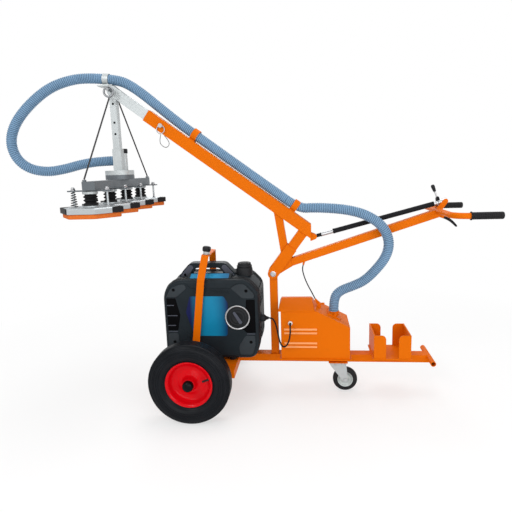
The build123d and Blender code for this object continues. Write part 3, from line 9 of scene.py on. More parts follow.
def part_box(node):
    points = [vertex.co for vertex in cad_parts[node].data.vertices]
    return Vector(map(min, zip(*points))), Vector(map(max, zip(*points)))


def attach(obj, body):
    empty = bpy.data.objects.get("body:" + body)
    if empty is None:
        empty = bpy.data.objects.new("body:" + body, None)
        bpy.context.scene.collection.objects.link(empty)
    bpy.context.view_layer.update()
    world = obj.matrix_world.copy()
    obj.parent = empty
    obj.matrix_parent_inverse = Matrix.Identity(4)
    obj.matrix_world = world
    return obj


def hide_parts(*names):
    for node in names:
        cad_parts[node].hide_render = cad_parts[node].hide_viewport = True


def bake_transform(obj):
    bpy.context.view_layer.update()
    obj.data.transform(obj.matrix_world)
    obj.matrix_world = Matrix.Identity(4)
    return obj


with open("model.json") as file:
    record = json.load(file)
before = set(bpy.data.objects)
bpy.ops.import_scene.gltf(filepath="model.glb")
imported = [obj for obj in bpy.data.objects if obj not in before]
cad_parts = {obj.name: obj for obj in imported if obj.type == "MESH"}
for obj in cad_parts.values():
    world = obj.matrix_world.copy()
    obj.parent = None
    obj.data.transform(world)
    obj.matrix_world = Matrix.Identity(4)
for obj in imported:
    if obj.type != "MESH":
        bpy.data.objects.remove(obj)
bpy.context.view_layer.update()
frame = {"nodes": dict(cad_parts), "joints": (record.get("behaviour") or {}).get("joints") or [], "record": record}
nodes = frame["nodes"]
joints = {joint["name"]: joint for joint in frame["joints"]}
onward = Vector((1, 0, 0))  # towards the hand grips
across = Vector((0, 1, 0))
upward = Vector((0, 0, 1))
mm = 0.001
print("frame loaded:", len(nodes), "nodes")


# places that the frame gives
def boxMiddle(node):
    low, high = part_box(node)
    return (low + high) / 2


def jointPlace(name):
    return Vector(joints[name]["pos_m"])


def slant(degrees):  # a direction in the XZ plane, from the grips' side upwards
    angle = math.radians(degrees)
    return Vector((math.cos(angle), 0, math.sin(angle)))


axleX = boxMiddle("tyre_left").x
boomPivot = jointPlace("boom_lift")
mastPivot = jointPlace("mast_swing")
boomDeg = 36.5
boomAlong = slant(180 - boomDeg)
boomUp = slant(90 - boomDeg)


def place(back, y, z):  # back runs along X from the axle towards the grips
    return Vector((axleX + back, y, z))


def boomPoint(along, up, y=0.0):
    return boomPivot + boomAlong * along + boomUp * up + across * y


# camera at the photograph's viewpoint
cameraSet = {"place": (0.1496, -2.4864, 1.2021), "yaw": 6.296, "pitch": 10.348, "roll": -1.872, "lens": 33.83,
             "sensor": 36.0}


def makeCamera(look):
    yaw, pitch, roll = (math.radians(look[key]) for key in ("yaw", "pitch", "roll"))
    ahead = Vector((-math.sin(yaw) * math.cos(pitch), math.cos(yaw) * math.cos(pitch), -math.sin(pitch)))
    right = Vector((math.cos(yaw), math.sin(yaw), 0))
    over = right.cross(ahead)
    tiltedRight = right * math.cos(roll) + over * math.sin(roll)
    tiltedUp = over * math.cos(roll) - right * math.sin(roll)
    data = bpy.data.cameras.new("photoCamera")
    data.lens = look["lens"]
    data.sensor_width = look["sensor"]
    camera = bpy.data.objects.new("photoCamera", data)
    turn = Matrix((tiltedRight, tiltedUp, -ahead)).transposed().to_4x4()
    camera.matrix_world = Matrix.Translation(Vector(look["place"])) @ turn
    bpy.context.scene.collection.objects.link(camera)
    bpy.context.scene.camera = camera


makeCamera(cameraSet)
print("camera placed")


# a shader socket that takes part in sums
class Wire:
    def __init__(self, finish, socket):
        self.finish = finish
        self.socket = socket

    def sum(self, operation, first, second):
        return self.finish.node("ShaderNodeMath", {"operation": operation}, first, second)

    def __add__(self, other):
        return self.sum("ADD", self, other)

    def __radd__(self, other):
        return self.sum("ADD", other, self)

    def __sub__(self, other):
        return self.sum("SUBTRACT", self, other)

    def __rsub__(self, other):
        return self.sum("SUBTRACT", other, self)

    def __mul__(self, other):
        return self.sum("MULTIPLY", self, other)

    def __rmul__(self, other):
        return self.sum("MULTIPLY", other, self)


class Finish:
    def __init__(self, name, holder=None):
        self.holder = holder or bpy.data.materials.new(name)
        self.holder.use_nodes = True
        self.tree = self.holder.node_tree
        self.tree.nodes.clear()

    def node(self, kind, settings, *values, output=0, **sockets):
        made = self.tree.nodes.new(kind)
        for key, value in settings.items():
            setattr(made, key, value)
        named = [(key.replace("_", " "), value) for key, value in sockets.items()]
        for key, value in [*enumerate(values), *named]:
            if value is not None:
                self.feed(made.inputs[key], value)
        return Wire(self, made.outputs[output]) if made.outputs else made

    def feed(self, socket, value):
        if isinstance(value, Wire):
            self.tree.links.new(value.socket, socket)
        else:
            socket.default_value = (*value, 1) if socket.type == "RGBA" else value

    def place(self, source="Object"):
        return self.node("ShaderNodeTexCoord", {}, output=source)

    def axis(self, vector, name):
        return self.node("ShaderNodeSeparateXYZ", {}, vector, output=name)

    def stretch(self, vector, scale):
        return self.node("ShaderNodeVectorMath", {"operation": "MULTIPLY"}, vector, scale)

    def noise(self, vector, scale, detail=3.0, roughness=0.55):
        return self.node("ShaderNodeTexNoise", {}, Vector=vector, Scale=scale, Detail=detail,
                         Roughness=roughness)

    def cells(self, vector, scale, output="Color"):
        return self.node("ShaderNodeTexVoronoi", {}, Vector=vector, Scale=scale, output=output)

    def fit(self, value, fromLow, fromHigh, toLow, toHigh):
        return self.node("ShaderNodeMapRange", {"clamp": True}, value, fromLow, fromHigh, toLow, toHigh)

    def mix(self, factor, first, second):
        unused = [None] * 5
        return self.node("ShaderNodeMix", {"data_type": "RGBA"}, factor, *unused, first, second, output=2)

    def bump(self, height, strength, distance, normal=None):
        return self.node("ShaderNodeBump", {}, Height=height, Strength=strength, Distance=distance,
                         Normal=normal)

    def softEdge(self, radius):
        return self.node("ShaderNodeBevel", {"samples": 4}, Radius=radius)

    def openView(self):
        # 1 where the camera sees it straight, in a mirror or through glass
        ways = [self.node("ShaderNodeLightPath", {}, output=way)
                for way in ("Is Camera Ray", "Is Glossy Ray", "Is Transmission Ray")]
        return self.fit(ways[0] + ways[1] + ways[2], 0.0, 1.0, 0.0, 1.0)

    def surface(self, **sockets):
        shader = self.node("ShaderNodeBsdfPrincipled", {}, **sockets)
        self.node("ShaderNodeOutputMaterial", {}, Surface=shader)
        return self.holder


def shade(colour, factor, lift=0.0):
    return tuple(min(1.0, c * factor + lift) for c in colour)


# finishes
def powderCoat(name, colour, dust, edge=0.0016):
    make = Finish(name)
    at = make.place()
    drift = make.noise(at, 3.1, 2.0)
    peel = make.noise(at, 620.0, 2.0)
    grime = make.fit(make.noise(at, 14.0, 6.0, 0.68), 0.58, 0.8, 0.0, 0.2)
    tone = make.mix(make.fit(drift, 0.3, 0.7, 0.0, 1.0), shade(colour, 0.93), colour)
    return make.surface(
        Base_Color=make.mix(grime, tone, dust),
        Roughness=0.34 + 0.16 * make.noise(at, 45.0, 4.0) + 0.3 * grime,
        Normal=make.bump(peel, 0.1, 0.0006, make.softEdge(edge)),
        Specular_IOR_Level=0.05)


def zincPlate(name, colour, roughness=0.42, edge=0.0009, metallic=0.6):
    make = Finish(name)
    at = make.place()
    spangle = make.axis(make.cells(at, 130.0), "X")
    streak = make.noise(make.stretch(at, (60.0, 60.0, 900.0)), 1.0, 2.0)
    haze = make.noise(at, 9.0, 5.0, 0.65)
    dull = make.mix(make.fit(haze, 0.48, 0.72, 0.0, 0.5), colour, shade(colour, 0.8))
    return make.surface(
        Base_Color=make.mix(0.2 * spangle, dull, shade(colour, 1.08)),
        Metallic=metallic,
        Roughness=roughness + 0.12 * haze + 0.03 * spangle,
        Normal=make.bump(streak, 0.04, 0.0004, make.softEdge(edge)))


def brightSteel(name, colour, roughness=0.2):
    make = Finish(name)
    at = make.place()
    scratch = make.noise(make.stretch(at, (300.0, 300.0, 1200.0)), 1.0, 2.0)
    smear = make.noise(at, 30.0, 4.0)
    return make.surface(
        Base_Color=make.mix(make.fit(smear, 0.4, 0.7, 0.0, 1.0), colour, shade(colour, 0.85)),
        Metallic=1.0,
        Roughness=roughness + 0.18 * smear,
        Normal=make.bump(scratch, 0.05, 0.0003))


def mouldedPlastic(name, colour, roughness=0.48, grain=900.0, edge=0.0018, shine=0.22):
    make = Finish(name)
    at = make.place()
    pebble = make.cells(at, grain, "Distance")
    cloud = make.noise(at, 11.0, 4.0)
    return make.surface(
        Base_Color=make.mix(make.fit(cloud, 0.35, 0.75, 0.0, 1.0), colour, shade(colour, 1.35, 0.001)),
        Roughness=roughness + 0.16 * make.noise(at, 60.0, 3.0),
        Normal=make.bump(pebble, 0.16, 0.0004, make.softEdge(edge)),
        Specular_IOR_Level=shine)


def rubber(name, colour, roughness=0.62, fleck=260.0, shine=0.2):
    make = Finish(name)
    at = make.place()
    bloom = make.noise(at, 16.0, 5.0, 0.7)
    skin = make.noise(at, fleck, 3.0)
    return make.surface(
        Base_Color=make.mix(make.fit(bloom, 0.45, 0.8, 0.0, 0.8), colour, shade(colour, 1.6, 0.002)),
        Roughness=roughness + 0.2 * bloom,
        Normal=make.bump(skin, 0.16, 0.0006),
        Specular_IOR_Level=shine)


def glossPaint(name, colour):
    make = Finish(name)
    at = make.place()
    ripple = make.noise(at, 160.0, 2.0)
    dirt = make.fit(make.noise(at, 26.0, 6.0, 0.7), 0.58, 0.82, 0.0, 0.3)
    return make.surface(
        Base_Color=make.mix(dirt, colour, shade(colour, 0.55, 0.01)),
        Roughness=0.12 + 0.35 * dirt,
        Normal=make.bump(ripple, 0.03, 0.0005),
        Specular_IOR_Level=0.1)


def foam(name, colour):
    make = Finish(name)
    at = make.place()
    pores = make.cells(at, 520.0, "Distance")
    lump = make.noise(at, 70.0, 4.0)
    # painted shade: the pits of the pores are painted darker
    return make.surface(
        Base_Color=make.mix(make.fit(pores, 0.1, 0.5, 1.0, 0.0), colour, shade(colour, 0.72)),
        Roughness=0.82 + 0.12 * lump,
        Normal=make.bump(pores, 0.4, 0.0012, make.bump(lump, 0.2, 0.002)),
        Specular_IOR_Level=0.15)


def ribbedHose(name, colour):
    # the mesh's second coordinate is 1 on a rib and 0 between two
    make = Finish(name)
    at = make.place()
    crest = make.axis(make.place("UV"), "Y")
    scuff = make.noise(at, 38.0, 5.0, 0.65)
    patch = make.fit(make.noise(at, 8.0, 2.0), 0.35, 0.7, 0.0, 0.3)
    # painted shade: the hollows between the ribs are painted darker
    body = make.mix(make.fit(crest, 0.05, 0.75, 1.0, 0.0), colour, shade(colour, 0.42))
    return make.surface(
        Base_Color=make.mix(patch, body, shade(colour, 1.15)),
        Roughness=0.4 + 0.22 * scuff,
        Normal=make.bump(scuff, 0.05, 0.0006),
        Specular_IOR_Level=0.25)


def ropeFibre(name, colour):
    make = Finish(name)
    at = make.place()
    fibre = make.noise(make.stretch(at, (900.0, 900.0, 160.0)), 1.0, 3.0)
    return make.surface(
        Base_Color=make.mix(make.fit(fibre, 0.3, 0.75, 0.0, 1.0), colour, shade(colour, 2.2, 0.01)),
        Roughness=0.7 + 0.2 * fibre,
        Normal=make.bump(fibre, 0.35, 0.0008))


def blankPanel(name, deep, light, middleX, halfWidth):
    # a bare panel with a soft blue fade to its sides
    make = Finish(name)
    at = make.place()
    aside = make.axis(at, "X") - middleX
    wash = make.noise(at, 12.0, 3.0)
    glow = make.fit(aside * aside, 0.0, halfWidth * halfWidth, 1.0, 0.0) * (0.8 + 0.4 * wash)
    return make.surface(
        Base_Color=make.mix(glow, deep, light),
        Roughness=0.3 + 0.12 * wash,
        Normal=make.bump(make.noise(at, 400.0, 2.0), 0.04, 0.0003),
        Specular_IOR_Level=0.2)


finishes = {
    "orange_paint": powderCoat("orangePowderCoat", (0.7, 0.14, 0.0005), (0.38, 0.08, 0.006)),
    "red_paint": glossPaint("redGlossPaint", (0.6, 0.0015, 0.006)),
    "tyre_rubber": rubber("tyreRubber", (0.0045, 0.0055, 0.0075), 0.3, 340.0, 0.12),
    "caster_rubber": rubber("casterRubber", (0.008, 0.008, 0.009), 0.5),
    "zinc_steel": zincPlate("zincPlatedSteel", (0.47, 0.5, 0.505)),
    "bright_steel": brightSteel("brightSteel", (0.48, 0.48, 0.49)),
    "black_metal": powderCoat("blackSatinPaint", (0.012, 0.012, 0.014), (0.05, 0.05, 0.05), 0.0008),
    "blower_alloy": zincPlate("castAlloy", (0.5, 0.5, 0.52), 0.45),
    "black_plastic": mouldedPlastic("blackMouldedPlastic", (0.007, 0.008, 0.0095)),
    "engine_alloy": zincPlate("engineAlloy", (0.4, 0.4, 0.41), 0.5),
    "grip_rubber": rubber("gripRubber", (0.007, 0.007, 0.008), 0.5, 420.0),
    "pad_alloy": zincPlate("padAlloy", (0.44, 0.47, 0.485), 0.38, metallic=0.75),
    "seal_foam": foam("sealFoam", (0.66, 0.15, 0.025)),
    "hose_plastic": ribbedHose("hosePlastic", (0.175, 0.305, 0.46)),
    "cord_rubber": rubber("cordRubber", (0.006, 0.006, 0.007), 0.45),
}
casePlastic = mouldedPlastic("greyCasePlastic", (0.009, 0.0135, 0.017), 0.4, shine=0.12)
# a lighter copy of the case plastic for the raised corner plates: painted light on them
litCornerPlastic = mouldedPlastic("paintedLightCornerPlastic", (0.021, 0.027, 0.032), 0.4, shine=0.2)
# near-black, with almost no reflection: painted shade on the sheets in the vents, and the screws' own black
ventShadeAndScrewPlastic = mouldedPlastic("ventShadeAndScrewBlack", (0.002, 0.002, 0.0025), 0.5, shine=0.03)
gripPlastic = mouldedPlastic("greyGripPlastic", (0.06, 0.065, 0.085), 0.45)
whitePlastic = mouldedPlastic("whiteGlandPlastic", (0.6, 0.6, 0.58), 0.4)
blackRope = ropeFibre("blackRopeFibre", (0.012, 0.012, 0.013))
casterHubGrey = zincPlate("casterHubGrey", (0.46, 0.5, 0.49), 0.42, metallic=0.6)
beamGrey = zincPlate("greyBeamSteel", (0.13, 0.145, 0.158), 0.42, metallic=0.7)
dullSteel = brightSteel("dullPinSteel", (0.26, 0.27, 0.28), 0.3)
capGloss = glossPaint("blackGlossCap", (0.003, 0.003, 0.0035))
# a paler orange for the louvre lips: a painted highlight along them
louvreHighlightOrange = powderCoat("paintedHighlightLouvreEdge", (0.95, 0.4, 0.15), (0.6, 0.2, 0.05), 0.0006)
print("finishes made:", len(bpy.data.materials))

for part in frame["record"]["subparts"]:
    mesh = nodes[part["node"]].data
    mesh.materials.clear()
    mesh.materials.append(finishes[part["material_slot"]])
nodes["crossbeam"].data.materials[0] = beamGrey
nodes["mast_pivot_pin"].data.materials[0] = dullSteel
nodes["valve_arm"].data.materials[0] = finishes["orange_paint"]


# meshes; profiles and outlines are in millimetres, places in metres
def addPiece(name, points, faces, material, body=None, slot=None, uvs=None, sharp=38):
    mesh = bpy.data.meshes.new(name)
    mesh.from_pydata([tuple(p) for p in points], [], faces)
    form = bmesh.new()
    form.from_mesh(mesh)
    bmesh.ops.recalc_face_normals(form, faces=form.faces)
    form.to_mesh(mesh)
    form.free()
    if uvs:
        layer = mesh.uv_layers.new(name="ribs")
        for loop in mesh.loops:
            layer.data[loop.index].uv = uvs[loop.vertex_index]
    for face in mesh.polygons:
        face.use_smooth = True
    mesh.set_sharp_from_angle(angle=math.radians(sharp))
    mesh.materials.append(material)
    piece = bpy.data.objects.new(name, mesh)
    bpy.context.scene.collection.objects.link(piece)
    if body:
        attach(piece, body)
    return piece


def dress(name, shape, slot, body, *replaced, material=None):
    # a piece on a body, in the slot's finish or its own
    piece = addPiece(name, *shape, material or finishes[slot], body, slot)
    if replaced:
        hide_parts(*replaced)
    return piece


def gather(shapes):
    # several shapes as the points and faces of one piece
    points, faces = [], []
    for shapePoints, shapeFaces in shapes:
        start = len(points)
        points += shapePoints
        faces += [tuple(start + i for i in face) for face in shapeFaces]
    return points, faces


def crossAxes(direction):
    side = direction.cross(upward if abs(direction.z) < 0.9 else across).normalized()
    return side, direction.cross(side).normalized()


def planeAt(origin, right, up):
    # the third number is the height over the plane
    normal = right.cross(up)
    return lambda u, v, w: origin + (right * u + up * v + normal * w) * mm


def loft(rings, closed=False):
    # outlines of as many points each, joined in their order; closed joins the last to the first
    count = len(rings[0])
    points = [point for ring in rings for point in ring]
    faces = []
    for row in range(len(rings) if closed else len(rings) - 1):
        below = (row + 1) % len(rings)
        for i in range(count):
            j = (i + 1) % count
            faces.append((row * count + i, row * count + j, below * count + j, below * count + i))
    if not closed:
        faces.append(tuple(range(count)))
        faces.append(tuple(range(len(points) - count, len(points))))
    return points, faces


def prism(outline, lift, low, high):
    return loft([[lift(u, v, w) for u, v in outline] for w in (low, high)])


def ringPrism(outer, inner, lift, low, high):
    edges = ((outer, low), (outer, high), (inner, high), (inner, low))
    return loft([[lift(u, v, w) for u, v in outline] for outline, w in edges], True)


def rectangle(left, right, low, top):
    return [(left, low), (right, low), (right, top), (left, top)]


def flipped(outline):
    return [(-u, v) for u, v in reversed(outline)]


def corners(x, y):
    return [(dx, dy) for dx in (-x, x) for dy in (-y, y)]


def rounded(outline, radius, steps=5):
    made = []
    for i, corner in enumerate(outline):
        here = Vector(corner)
        before = Vector(outline[i - 1]) - here
        after = Vector(outline[(i + 1) % len(outline)]) - here
        reach = min(radius, before.length * 0.45, after.length * 0.45)
        first, last = here + before.normalized() * reach, here + after.normalized() * reach
        for k in range(steps + 1):
            t = k / steps
            made.append(tuple(first * (1 - t) ** 2 + here * 2 * t * (1 - t) + last * t * t))
    return made


def inset(outline, amount):
    # for outlines that run anticlockwise
    made = []
    for i in range(len(outline)):
        a, b, c = (Vector(outline[(i + k) % len(outline)]) for k in (-1, 0, 1))
        first, second = (b - a).normalized(), (c - b).normalized()
        normalFirst, normalSecond = Vector((-first.y, first.x)), Vector((-second.y, second.x))
        made.append(tuple(b + (normalFirst + normalSecond) * (amount / (1 + normalFirst.dot(normalSecond)))))
    return made


def lathe(profile, centre, direction, steps=48, closed=False, shape=None):
    # (along the axis, radius) pairs turned about it; shape may change a pair at an angle
    direction = Vector(direction).normalized()
    side, other = crossAxes(direction)
    rings = []
    for pair in profile:
        ring = []
        for i in range(steps):
            angle = 2 * math.pi * i / steps
            along, radius = shape(*pair, angle) if shape else pair
            rim = side * math.cos(angle) + other * math.sin(angle)
            ring.append(Vector(centre) + (direction * along + rim * max(radius, 0.01)) * mm)
        rings.append(ring)
    return loft(rings, closed)


def hexHead(centre, direction, flats, height, crown=0.8):
    reach = flats / math.sqrt(3)
    return lathe([(0, reach), (height - crown, reach), (height, reach * 0.88)], centre, direction, 6)


def softEdges(piece, width, segments=3):
    bevel = piece.modifiers.new("edges", "BEVEL")
    bevel.width = width
    bevel.segments = segments
    bevel.limit_method = "ANGLE"
    bevel.angle_limit = math.radians(35)
    bevel.harden_normals = True
    return piece


def carve(piece, shapes):
    # takes the shapes out of the piece
    cutter = addPiece(piece.name + "Cutter", *gather(shapes), piece.data.materials[0])
    cut = piece.modifiers.new("cut", "BOOLEAN")
    cut.object = cutter
    cut.solver = "EXACT"
    mesh = bpy.data.meshes.new_from_object(piece.evaluated_get(bpy.context.evaluated_depsgraph_get()))
    piece.modifiers.remove(cut)
    piece.data = mesh
    bpy.data.objects.remove(cutter)
    return piece


# lines of the cords: a NURBS spline with the route's points as its control points
def routePlaces(name, points):
    data = bpy.data.curves.new(name, "CURVE")
    data.dimensions = "3D"
    spline = data.splines.new("NURBS")
    spline.points.add(len(points) - 1)
    for control, point in zip(spline.points, points):
        control.co = (*point, 1)
    spline.order_u = 3
    spline.use_endpoint_u = True
    data.resolution_u = 24
    line = bpy.data.objects.new(name + "Line", data)
    bpy.context.scene.collection.objects.link(line)
    mesh = bpy.data.meshes.new_from_object(line)
    places = [vertex.co.copy() for vertex in mesh.vertices]
    bpy.data.objects.remove(line)
    bpy.data.meshes.remove(mesh)
    return places


def lineLength(places):
    return sum((b - a).length for a, b in zip(places, places[1:]))


def evenSteps(places, count):
    total = lineLength(places)
    marks, done, index = [], 0.0, 0
    for i in range(count + 1):
        target = total * i / count
        while index < len(places) - 2 and done + (places[index + 1] - places[index]).length < target:
            done += (places[index + 1] - places[index]).length
            index += 1
        leg = places[index + 1] - places[index]
        marks.append(places[index] + leg * ((target - done) / leg.length))
    return marks


def tubeRings(marks, radius, sides):
    # radius takes the mark's number and the angle; the section turns no more than the line does
    heading = (marks[1] - marks[0]).normalized()
    side, other = crossAxes(heading)
    angles = [2 * math.pi * k / sides for k in range(sides)]
    rings = []
    for i, mark in enumerate(marks):
        newHeading = (marks[min(i + 1, len(marks) - 1)] - marks[max(i - 1, 0)]).normalized()
        turn = heading.rotation_difference(newHeading)
        side, other, heading = turn @ side, turn @ other, newHeading
        rings.append([mark + (side * math.cos(angle) + other * math.sin(angle)) * radius(i, angle)
                      for angle in angles])
    return rings


def tube(marks, radius, sides):
    return loft(tubeRings(marks, radius, sides))


def declareCord(marks):
    lineLength(marks)


# vacuum hose in three lengths, with a helical rib
hoseSet = {"radius": 0.0255, "rib": 0.003, "pitch": 0.0093, "ringsPerRib": 8, "sides": 32, "axisUp": 0.3535,
           "joinAlong": 0.168, "strapOut": 0.030, "strapUp": 0.0608, "strapDeg": 6.5, "strapLead": 0.030,
           "rearBend": (0.06, 0.53),  # heights over the spigot on the rear length
           "frontBend": 0.36}  # how far beyond the strap the front length is cut in two


def makeHose(names, route, node, cutX=None):
    # one piece, or two that meet where the hose first passes cutX
    places = routePlaces(names[0], route)
    ribs = round(lineLength(places) / hoseSet["pitch"])
    rings, sides = hoseSet["ringsPerRib"], hoseSet["sides"]
    marks = evenSteps(places, ribs * rings)

    def swell(i, angle):
        return 0.5 + 0.5 * math.cos(2 * math.pi * i / rings - angle)

    def radius(i, angle):
        return hoseSet["radius"] - hoseSet["rib"] * (1 - swell(i, angle) ** 0.7)

    outlines = tubeRings(marks, radius, sides)
    cuts = [i for i, mark in enumerate(marks) if cutX and mark.x < cutX][:1]
    ends = [0, *cuts, len(marks) - 1]
    pieces = []
    for name, first, last in zip(names, ends, ends[1:]):
        uvs = [(k / sides, swell(i, 2 * math.pi * k / sides))
               for i in range(first, last + 1) for k in range(sides)]
        piece = addPiece(name, *loft(outlines[first:last + 1]), finishes["hose_plastic"], slot="hose_plastic",
                         uvs=uvs, sharp=80)
        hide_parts(node)
        declareCord(marks[first:last + 1])
        pieces.append(piece)
    print(names[0], "length", round(lineLength(places), 3), "ribs", ribs)
    return pieces


strapAxis = slant(180 - hoseSet["strapDeg"])
strapCentre = mastPivot + Vector((-hoseSet["strapOut"], 0, hoseSet["strapUp"]))
hoseJoin = boomPoint(hoseSet["joinAlong"], hoseSet["axisUp"])
hoseEnd = strapCentre + strapAxis * hoseSet["strapLead"]
spigotTop = place(0.703, 0, 0.446)
portFace = Vector((mastPivot.x - 0.026, 0.046, 1.265))
rearRoute = [spigotTop, place(0.703, 0, 0.515), place(0.734, -0.006, 0.556), place(0.800, -0.018, 0.584),
             place(0.858, -0.030, 0.614), place(0.915, -0.044, 0.676), place(0.962, -0.058, 0.745),
             place(0.976, -0.068, 0.822), place(0.941, -0.073, 0.902), place(0.864, -0.068, 0.957),
             place(0.778, -0.052, 0.982), place(0.693, -0.030, 0.991), place(0.610, -0.008, 0.994),
             boomPoint(0.090, hoseSet["axisUp"]), hoseJoin]
boomRoute = [hoseJoin, boomPoint(0.770, hoseSet["axisUp"]), place(-0.145, 0, 1.498), place(-0.250, 0, 1.588),
             place(-0.325, 0, 1.642), strapCentre - strapAxis * 0.055, hoseEnd]
frontRoute = [hoseEnd, hoseEnd + strapAxis * 0.080, place(-0.635, -0.035, 1.668),
              place(-0.715, -0.080, 1.628), place(-0.801, -0.120, 1.550), place(-0.872, -0.144, 1.462),
              place(-0.905, -0.151, 1.375), place(-0.893, -0.144, 1.295), place(-0.845, -0.124, 1.238),
              place(-0.765, -0.092, 1.216), place(-0.685, -0.052, 1.228), place(-0.610, -0.004, 1.252),
              portFace - onward * 0.094, portFace]
bendLow, bendHigh = hoseSet["rearBend"]
bendEnd = hoseEnd - onward * hoseSet["frontBend"]
[hoseRear] = makeHose(["hoseRear"], rearRoute, "hose_rear")
[hoseBoom] = makeHose(["hoseBoom"], boomRoute, "hose_boom")
hoseFront, hoseFrontLow = makeHose(["hoseFront", "hoseFrontLow"], frontRoute, "hose_front",
                                   bendEnd.x - hoseSet["radius"])
spigotTop + upward * bendLow
spigotTop + upward * bendHigh
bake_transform(hoseRear)
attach(hoseBoom, "boom")
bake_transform(hoseFront)
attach(hoseFrontLow, "mast")


# power cord with its plug and gland
cordSet = {"cord": 0.004, "cable": 0.003, "lanyard": 0.0015, "step": 0.004, "plug": (-0.060, 0.424),
           "plugLong": 0.042, "gland": (0.476, -0.108, 0.412), "glandLong": 0.014}


def cordTube(name, places, radius, node, sides=12):
    marks = evenSteps(places, max(8, round(lineLength(places) / cordSet["step"])))
    shape = tube(marks, lambda i, angle: radius, sides)
    piece = addPiece(name, *shape, finishes["cord_rubber"], slot="cord_rubber")
    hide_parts(node)
    return piece, marks


generatorLow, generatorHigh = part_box("generator_case")
plugFace = Vector((generatorHigh.x, *cordSet["plug"]))
plugEnd = plugFace + onward * cordSet["plugLong"]
glandFace = place(*cordSet["gland"])
glandEnd = glandFace - across * cordSet["glandLong"]
plugBody = [(0, 22), (4, 22), (5, 20.6), (16, 20.2), (22, 18.4), (26, 15), (29, 12), (30, 11), (31, 9.5),
            (33, 10.2), (34, 8.8), (36, 9.4), (37, 8.0), (39, 8.4), (42, 6.6), (44, 4.6)]
plug = dress("mainsPlug", lathe(plugBody, plugFace, onward), "black_plastic", "chassis", "cord_fittings")
glandDome = [(8, 11), (10, 10.6), (13, 8.4), (14.5, 6.4), (15, 4.4)]
glandNut = gather([hexHead(glandFace, -across, 20.5, 8.5), lathe(glandDome, glandFace, -across)])
gland = dress("cordGland", glandNut, "black_plastic", "chassis", "cord_fittings", material=whitePlastic)
relief = [(14, 6.2), (18, 6.4), (19, 5.6), (22, 5.9), (23, 5.1), (26, 5.3), (27, 4.7), (33, 4.3)]
glandRelief = dress("cordRelief", lathe(relief, glandFace, -across), "cord_rubber", "chassis")
powerRoute = [plugEnd, plugEnd + onward * 0.018, place(0.395, -0.066, 0.404), place(0.407, -0.082, 0.360),
              place(0.417, -0.104, 0.316), place(0.432, -0.130, 0.291), place(0.454, -0.150, 0.300),
              place(0.470, -0.160, 0.334), place(0.477, -0.162, 0.374), place(0.477, -0.157, 0.401),
              glandEnd - across * 0.020, glandEnd]
powerPlaces = routePlaces("powerCord", powerRoute)
powerCord, powerMarks = cordTube("powerCord", powerPlaces, cordSet["cord"], "power_cord")
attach(powerCord, "chassis")
declareCord(powerMarks)

# release cable, in three pieces because three joints move along it
cableSet = {"handleDeg": 18.1, "along": 0.174, "up": 0.0079, "y": -0.010, "stop": (-0.005, 0, -0.017),
            "valveDeg": 126.9, "valveArm": 0.030, "steps": 60}
handleAlong = slant(cableSet["handleDeg"])
handleUp = slant(90 + cableSet["handleDeg"])
cableTop = boomPivot + handleAlong * cableSet["along"] + handleUp * cableSet["up"] + across * cableSet["y"]
cableStop = cableTop + Vector(cableSet["stop"])
cableDown = (cableStop - cableTop).normalized()
valveTip = jointPlace("valve_turn") + slant(cableSet["valveDeg"]) * cableSet["valveArm"]
cableBend = place(0.588, -0.003, 0.548)
cableRoute = [cableStop + cableDown * 0.0003, cableStop + cableDown * 0.020, place(0.545, -0.009, 0.650),
              place(0.555, -0.008, 0.618), place(0.570, -0.006, 0.583), cableBend,
              valveTip - (valveTip - cableBend).normalized() * 0.0043]
cablePlaces = evenSteps(routePlaces("releaseCable", cableRoute), cableSet["steps"])
cableParts = (("cableTop", 0, 20, "handle", "boom"), ("cableMiddle", 20, 44, "boom", "chassis"),
              ("cableLow", 44, 60, "chassis", "valve_arm"))
for name, first, last, upper, lower in cableParts:
    piece, marks = cordTube(name, cablePlaces[first:last + 1], cordSet["cable"], "release_cable")
    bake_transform(piece)
    declareCord(marks)

# lanyard of the locking pin
ringCentre = boomPoint(0.905, 0.295, -0.0363) - upward * 0.020
lanyardRoute = [ringCentre - upward * 0.024, place(-0.172, -0.044, 1.350), place(-0.160, -0.040, 1.328),
                place(-0.141, -0.034, 1.318), place(-0.126, -0.028, 1.330), place(-0.127, -0.022, 1.352),
                boomPoint(0.866, 0.2635, -0.018)]
lanyardPlaces = routePlaces("pinLanyard", lanyardRoute)
lanyard, lanyardMarks = cordTube("pinLanyard", lanyardPlaces, cordSet["lanyard"], "pin_lanyard", 8)
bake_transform(lanyard)
declareCord(lanyardMarks)

# stabiliser ropes of three strands
ropeSet = {"radius": 0.004, "strandDeep": 0.14, "strandTurn": 0.022, "steps": 150, "sides": 18, "end": 0.0024,
           "topY": 0.062, "footX": 0.020, "footY": 0.378, "bend": 0.19}  # the ropes run straight from their tops to their feet
ropeLow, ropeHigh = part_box("stabiliser_ropes")
for name, sign in (("ropeNear", -1), ("ropeFar", 1)):
    top = Vector((mastPivot.x, sign * ropeSet["topY"], ropeHigh.z - ropeSet["end"]))
    foot = Vector((mastPivot.x + sign * ropeSet["footX"], sign * ropeSet["footY"],
                   ropeLow.z + ropeSet["end"]))
    marks = evenSteps(routePlaces(name, [top, foot]), ropeSet["steps"])
    twist = 2 * math.pi * lineLength(marks) / ropeSet["steps"] / ropeSet["strandTurn"]

    def strand(i, angle):
        proud = abs(math.cos(1.5 * (angle - i * twist)))
        return ropeSet["radius"] * (1 - ropeSet["strandDeep"] * (1 - proud))

    piece = addPiece(name, *tube(marks, strand, ropeSet["sides"]), blackRope, slot="cord_rubber")
    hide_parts("stabiliser_ropes")
    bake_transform(piece)
    declareCord(marks)
print("cords made")


